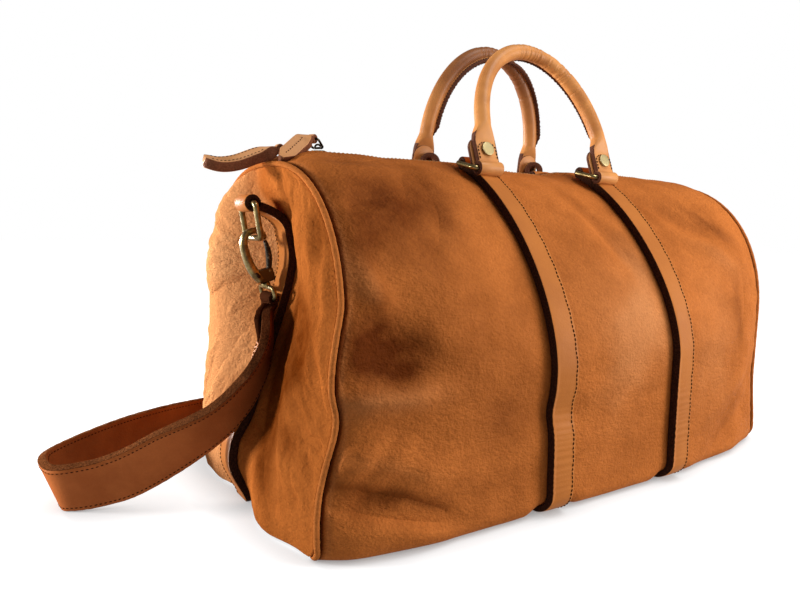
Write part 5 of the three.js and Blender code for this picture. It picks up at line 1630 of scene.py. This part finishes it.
def make_pull(number):
    """A folded leather pull: a ribbon on a drooping curve that rolls over, with a loop and a shaped tip."""
    slider, first = SLIDERS[number], number == 1
    hold, reach, back, across = pull_frame(number)
    start = hold + reach * LINK_LENGTH
    curve, = evenly(spline(slider["route"], 200)[0], 90)
    at = run_length(curve)
    beyond = at > LINK_WIRE + 1.8
    curve, at = curve[beyond], at[beyond]
    path = start + curve[:, :1] * back + curve[:, 1:] * Z_AXIS
    run = tangents(path)
    roll = np.radians(slider["lean"]) * smoothstep(at, 4, 20)[:, None]
    wide = np.cos(roll) * across + np.sin(roll) * Z_AXIS
    wide = unit(wide - np.sum(wide * run, -1, keepdims=True) * run)
    face = np.cross(wide, run)
    face = face * np.sign(face[:, 2:3])
    to_tip = at[-1] - at
    tip = mix(0.3, 1.0, np.clip(to_tip / 8, 0, 1))
    if first:
        tip = mix(0.45, 1.0, np.sqrt(np.clip(to_tip / 6, 0, 1)))
    half = mix(PULL_NECK, slider["half_wide"], smoothstep(at, 3, 13)) * tip
    swell = size("pull_swell")
    thick = PULL_HALF_THICK + swell * smoothstep(at, 2, 12)[:, None]
    a, b, edge = ribbon_section(1.0, 2.0, faces=9, round_by=0.4)
    slack = 3.2 * bell(at, 9, 7)[:, None] * (b < 1) * first
    ribbon = swept(rings_on(path, wide, face, stretched(a, half[:, None], 0.6), (b - 1) * thick - slack))
    loop, mark = bush(start, across, reach, LINK_WIRE + 0.5, PULL_LOOP, PULL_NECK)
    made = joined(f"zip_pull_tab_{number}", [ribbon, loop], edge=[edge, mark], dull=[0.0, 0.0])
    place_piece(made, "pull_leather", "strap_leather", f"zip_pull_{number}")
    clear = (at > 14) & (to_tip > 4)
    row = path + face * (PULL_HALF_THICK + swell - 0.05)
    lines = [((row + wide * (part * (half - 2.4))[:, None])[clear], face[clear]) for part in slider["rows"]]
    return sew(f"zip_pull_stitches_{number}", "strap_leather", lines, PULL_STITCH)


# Stage

def stand(data, place, right, ahead):
    """A camera or lamp at a place in metres, its view along ahead."""
    made = bpy.data.objects.new(data.name, data)
    bpy.context.scene.collection.objects.link(made)
    turn = np.stack([right, np.cross(right, ahead), -ahead], -1)
    made.matrix_world = Matrix.Translation(place) @ Matrix(turn.tolist()).to_4x4()
    return made


def make_camera():
    """A camera of fitted place, direction and roll; its lens is set for a frame 800 wide."""
    yaw, pitch, roll = np.radians(CAMERA_TURN)
    ahead = np.array([np.sin(yaw) * np.cos(pitch), np.cos(yaw) * np.cos(pitch), np.sin(pitch)])
    level = np.array([np.cos(yaw), -np.sin(yaw), 0])
    right = np.cos(roll) * level + np.sin(roll) * np.cross(level, ahead)
    data = bpy.data.cameras.new("photo_view")
    data.sensor_fit = "HORIZONTAL"
    data.sensor_width = SENSOR
    data.lens = CAMERA_LENS * SENSOR / FRAME_WIDE
    data.clip_start = 0.01
    bpy.context.scene.camera = stand(data, CAMERA_PLACE, right, ahead)


def make_lamp(name, place, target, side, power):
    """A soft square lamp aimed at a point."""
    data = bpy.data.lights.new(name, "AREA")
    data.shape = "SQUARE"
    data.size = side
    data.energy = power
    ahead = unit(np.subtract(target, place))
    stand(data, place, unit(np.cross(ahead, Z_AXIS)), ahead)


def make_floor():
    """A wide pale floor that fades to the backdrop, with a faint shade where the bag meets it."""
    span = np.linspace(-FLOOR_HALF, FLOOR_HALF, FLOOR_COUNT)
    x, y = np.meshgrid(span, span, indexing="ij")
    points = np.stack([x, y, np.full(x.shape, -FLOOR_DROP)], -1)
    floor = build("floor", points, [face_grid(FLOOR_COUNT, FLOOR_COUNT)[:, ::-1]], closed=False)
    shade = Shade("floor_white")
    shade.set(Base_Color=(0.35, 0.35, 0.35), Roughness=0.9, Specular_IOR_Level=0.0)
    seen = shade.node("ShaderNodeLightPath", {}, {}, "Is Camera Ray")
    near = shade.node("ShaderNodeAmbientOcclusion", {"samples": 12}, {"Distance": 0.035}, "AO")
    level = seen * (near * 0.75 - 0.03) + 0.25
    shade.set(Emission_Color=shade.blend(level, (0, 0, 0), (1, 1, 1)), Emission_Strength=1.0)
    floor.data.materials.append(shade.material)


def make_room(brightness):
    """A white backdrop that gives the bag only part of its light."""
    world = bpy.data.worlds.new("pale_room")
    world.use_nodes = True
    bpy.context.scene.world = world
    room = Nodes(world.node_tree)
    ground = room.tree.nodes["Background"]
    seen = room.node("ShaderNodeLightPath", {}, {}, "Is Camera Ray")
    room.feed(ground.inputs["Color"], (1, 1, 1))
    room.feed(ground.inputs["Strength"], seen * (1 - brightness) + brightness)


def tone(name, description, default):
    """A colour that a user may change."""
    return FloatVectorProperty(
        name=name, description=description, default=default, size=3, subtype="COLOR", min=0, max=1)


def length(name, description, default_mm):
    """A length that a user may change, kept in metres."""
    return FloatProperty(
        name=name, description=description, default=default_mm * MM, min=0, precision=4, unit="LENGTH")


class TravelBagLook(bpy.types.PropertyGroup):
    """Sizes, colours and stage light that a user may change."""

    strap_swell: length("Strap swell", "Thickness that the body straps show beyond their solids", 2.4)
    end_strap_swell: length("End strap swell", "Thickness that the end straps show beyond their solids", 1.8)
    sling_swell: length("Shoulder strap swell", "Extra thickness on each face of the shoulder strap", 1.0)
    pull_swell: length("Pull swell", "Extra thickness on each face of the zip pulls", 1.6)
    rivet_swell: length("Rivet swell", "Extra radius of the rivet heads", 0.9)
    front_fin: length("Front fin", "How far the raw seam stands out of the front grip", 2.4)
    back_fin: length("Back fin", "How far the raw seam stands out of the back grip", 4.6)
    grain: length("Grain", "Size of the body leather's pebbles", 1.9)
    leather: tone("Leather", "Main tone of the body leather", (0.52, 0.153, 0.031))
    # Deep tone: red-brown patches, and the colour of the painted shade
    leather_deep_and_shade: tone("Deep leather", "Red-brown patches of the body leather", (0.12, 0.024, 0.0025))
    # Pale tone: worn and stretched leather, and the colour of the painted highlights
    leather_pale_and_light: tone("Pale leather", "Worn and stretched body leather", (0.74, 0.33, 0.13))
    strap: tone("Strap", "Face of the body straps", (0.50, 0.165, 0.032))
    strap_deep: tone("Deep strap", "Darker tone of the straps' face", (0.36, 0.11, 0.023))
    grip: tone("Grip", "Handle leather", (0.64, 0.265, 0.074))
    grip_deep: tone("Deep grip", "Handled parts of the grips", (0.38, 0.13, 0.034))
    pull: tone("Pull", "Faces of the zip pulls", (0.68, 0.325, 0.14))
    pull_edge: tone("Pull edge", "Cut edges of the zip pulls", (0.24, 0.08, 0.032))
    grip_edge: tone("Grip edge", "Cut edges and fins of the handles", (0.13, 0.04, 0.016))
    cut_edge: tone("Cut edge", "Cut edges of straps and tabs", (0.018, 0.006, 0.003))
    cut_edge_fibre: tone("Edge fibre", "Fibres that show in the cut edges", (0.075, 0.025, 0.012))
    sling: tone("Shoulder strap", "Face of the shoulder strap", (0.64, 0.19, 0.052))
    sling_deep: tone("Deep shoulder strap", "Oiled parts of the shoulder strap", (0.26, 0.055, 0.011))
    sling_edge: tone("Shoulder strap edge", "Fibrous edge of the shoulder strap", (0.23, 0.074, 0.024))
    sling_tail: tone("Shoulder strap tail", "Folded ends at the hooks", (0.05, 0.015, 0.006))
    brass: tone("Brass", "Rings and hooks", (0.44, 0.33, 0.14))
    brass_dark: tone("Dark brass", "Stained parts of the brass", (0.10, 0.068, 0.028))
    rivet: tone("Rivet", "Rivet heads", (0.39, 0.31, 0.15))
    black_metal: tone("Black metal", "Zip and gates", (0.035, 0.028, 0.022))
    rubbed_metal: tone("Rubbed metal", "Rubbed places of the zip and gates", (0.32, 0.26, 0.17))
    thread: tone("Thread", "Dark stitches", (0.055, 0.018, 0.008))
    thread_light: tone("Light thread", "Stitches beside the zip", (0.55, 0.32, 0.14))
    thread_wax: tone("Thread wax", "Dark wax in the threads", (0.02, 0.008, 0.004))
    tape: tone("Tape", "Zip tape", (0.055, 0.03, 0.018))
    tape_pale: tone("Pale tape", "Raised yarns of the zip tape", (0.12, 0.07, 0.04))
    window: FloatProperty(
        name="Window", description="Strength of the soft light from the left", default=34.0, min=0,
        unit="POWER")
    room: FloatProperty(name="Room", description="Brightness of the pale room", default=0.15, min=0)


class TRAVELBAG_OT_stage(bpy.types.Operator):
    """Camera, floor, room light and lamps"""

    bl_idname = "travel_bag.stage"
    bl_label = "Stage"

    def execute(self, context):
        look = context.scene.travel_bag
        make_camera()
        make_floor()
        for name, place, target, side, share in LAMPS:
            make_lamp(name, place, target, side, look.window * share)
        make_room(look.room)
        context.scene.view_settings.view_transform = "Standard"
        return {"FINISHED"}


class TRAVELBAG_OT_panels(bpy.types.Operator):
    """Front, back, base and end panels with their piping"""

    bl_idname = "travel_bag.panels"
    bl_label = "Panels"

    def execute(self, context):
        for side in (-1, 1):
            make_long_panel(side)
        make_base()
        for side in (-1, 1):
            make_end(side)
            make_piping(side)
        return {"FINISHED"}


class TRAVELBAG_OT_straps(bpy.types.Operator):
    """Straps round the body and up the ends"""

    bl_idname = "travel_bag.straps"
    bl_label = "Straps"

    def execute(self, context):
        for side in (-1, 1):
            make_body_strap(side)
            make_end_strap(side)
        return {"FINISHED"}


class TRAVELBAG_OT_handles(bpy.types.Operator):
    """Rolled handles with their rivets and rings"""

    bl_idname = "travel_bag.handles"
    bl_label = "Handles"

    def execute(self, context):
        for side in (-1, 1):
            make_handle(side)
            for foot in (-1, 1):
                make_rivet(side, foot)
                make_ring(f"{FACES[side]}_{ENDS[foot]}", *bar_places(side, foot), X_AXIS)
        return {"FINISHED"}


class TRAVELBAG_OT_hooks(bpy.types.Operator):
    """End rings and the snap hooks that hang in them"""

    bl_idname = "travel_bag.hooks"
    bl_label = "Hooks"

    def execute(self, context):
        for side in (-1, 1):
            make_ring(f"{ENDS[side]}_end", at_end(side, END_LOOP), at_end(side, END_RING_FOOT), Y_AXIS)
            make_hook(side)
            make_gate(side)
            make_hook_slots(side)
            make_swivel(side)
        return {"FINISHED"}


class TRAVELBAG_OT_sling(bpy.types.Operator):
    """Shoulder strap from hook to hook"""

    bl_idname = "travel_bag.sling"
    bl_label = "Shoulder strap"

    def execute(self, context):
        make_sling()
        return {"FINISHED"}


class TRAVELBAG_OT_zip(bpy.types.Operator):
    """Zip teeth, tapes, end covers, sliders and pulls"""

    bl_idname = "travel_bag.zip"
    bl_label = "Zip"

    def execute(self, context):
        make_zip()
        for number in SLIDERS:
            make_slider(number)
            make_link(number)
            make_pull(number)
        return {"FINISHED"}


STEPS = ("stage", "panels", "straps", "handles", "hooks", "sling", "zip")


class TRAVELBAG_PT_panel(bpy.types.Panel):
    """Lists the pieces of the bag"""

    bl_idname = "TRAVELBAG_PT_panel"
    bl_label = "Travel bag"
    bl_space_type = "VIEW_3D"
    bl_region_type = "UI"
    bl_category = "Travel bag"

    def draw(self, context):
        for step in STEPS:
            self.layout.operator(f"travel_bag.{step}")
        for key in TravelBagLook.__annotations__:
            self.layout.prop(context.scene.travel_bag, key)


CLASSES = (
    TravelBagLook, TRAVELBAG_OT_stage, TRAVELBAG_OT_panels, TRAVELBAG_OT_straps, TRAVELBAG_OT_handles,
    TRAVELBAG_OT_hooks, TRAVELBAG_OT_sling, TRAVELBAG_OT_zip, TRAVELBAG_PT_panel,
)


def register():
    """Adds the classes and the scene's settings."""
    for item in CLASSES:
        bpy.utils.register_class(item)
    bpy.types.Scene.travel_bag = PointerProperty(type=TravelBagLook)


def unregister():
    """Takes them away again."""
    del bpy.types.Scene.travel_bag
    for item in reversed(CLASSES):
        bpy.utils.unregister_class(item)


def main():
    """Builds every piece in order."""
    register()
    for step in STEPS:
        getattr(bpy.ops.travel_bag, step)()


if __name__ == "__main__":
    main()
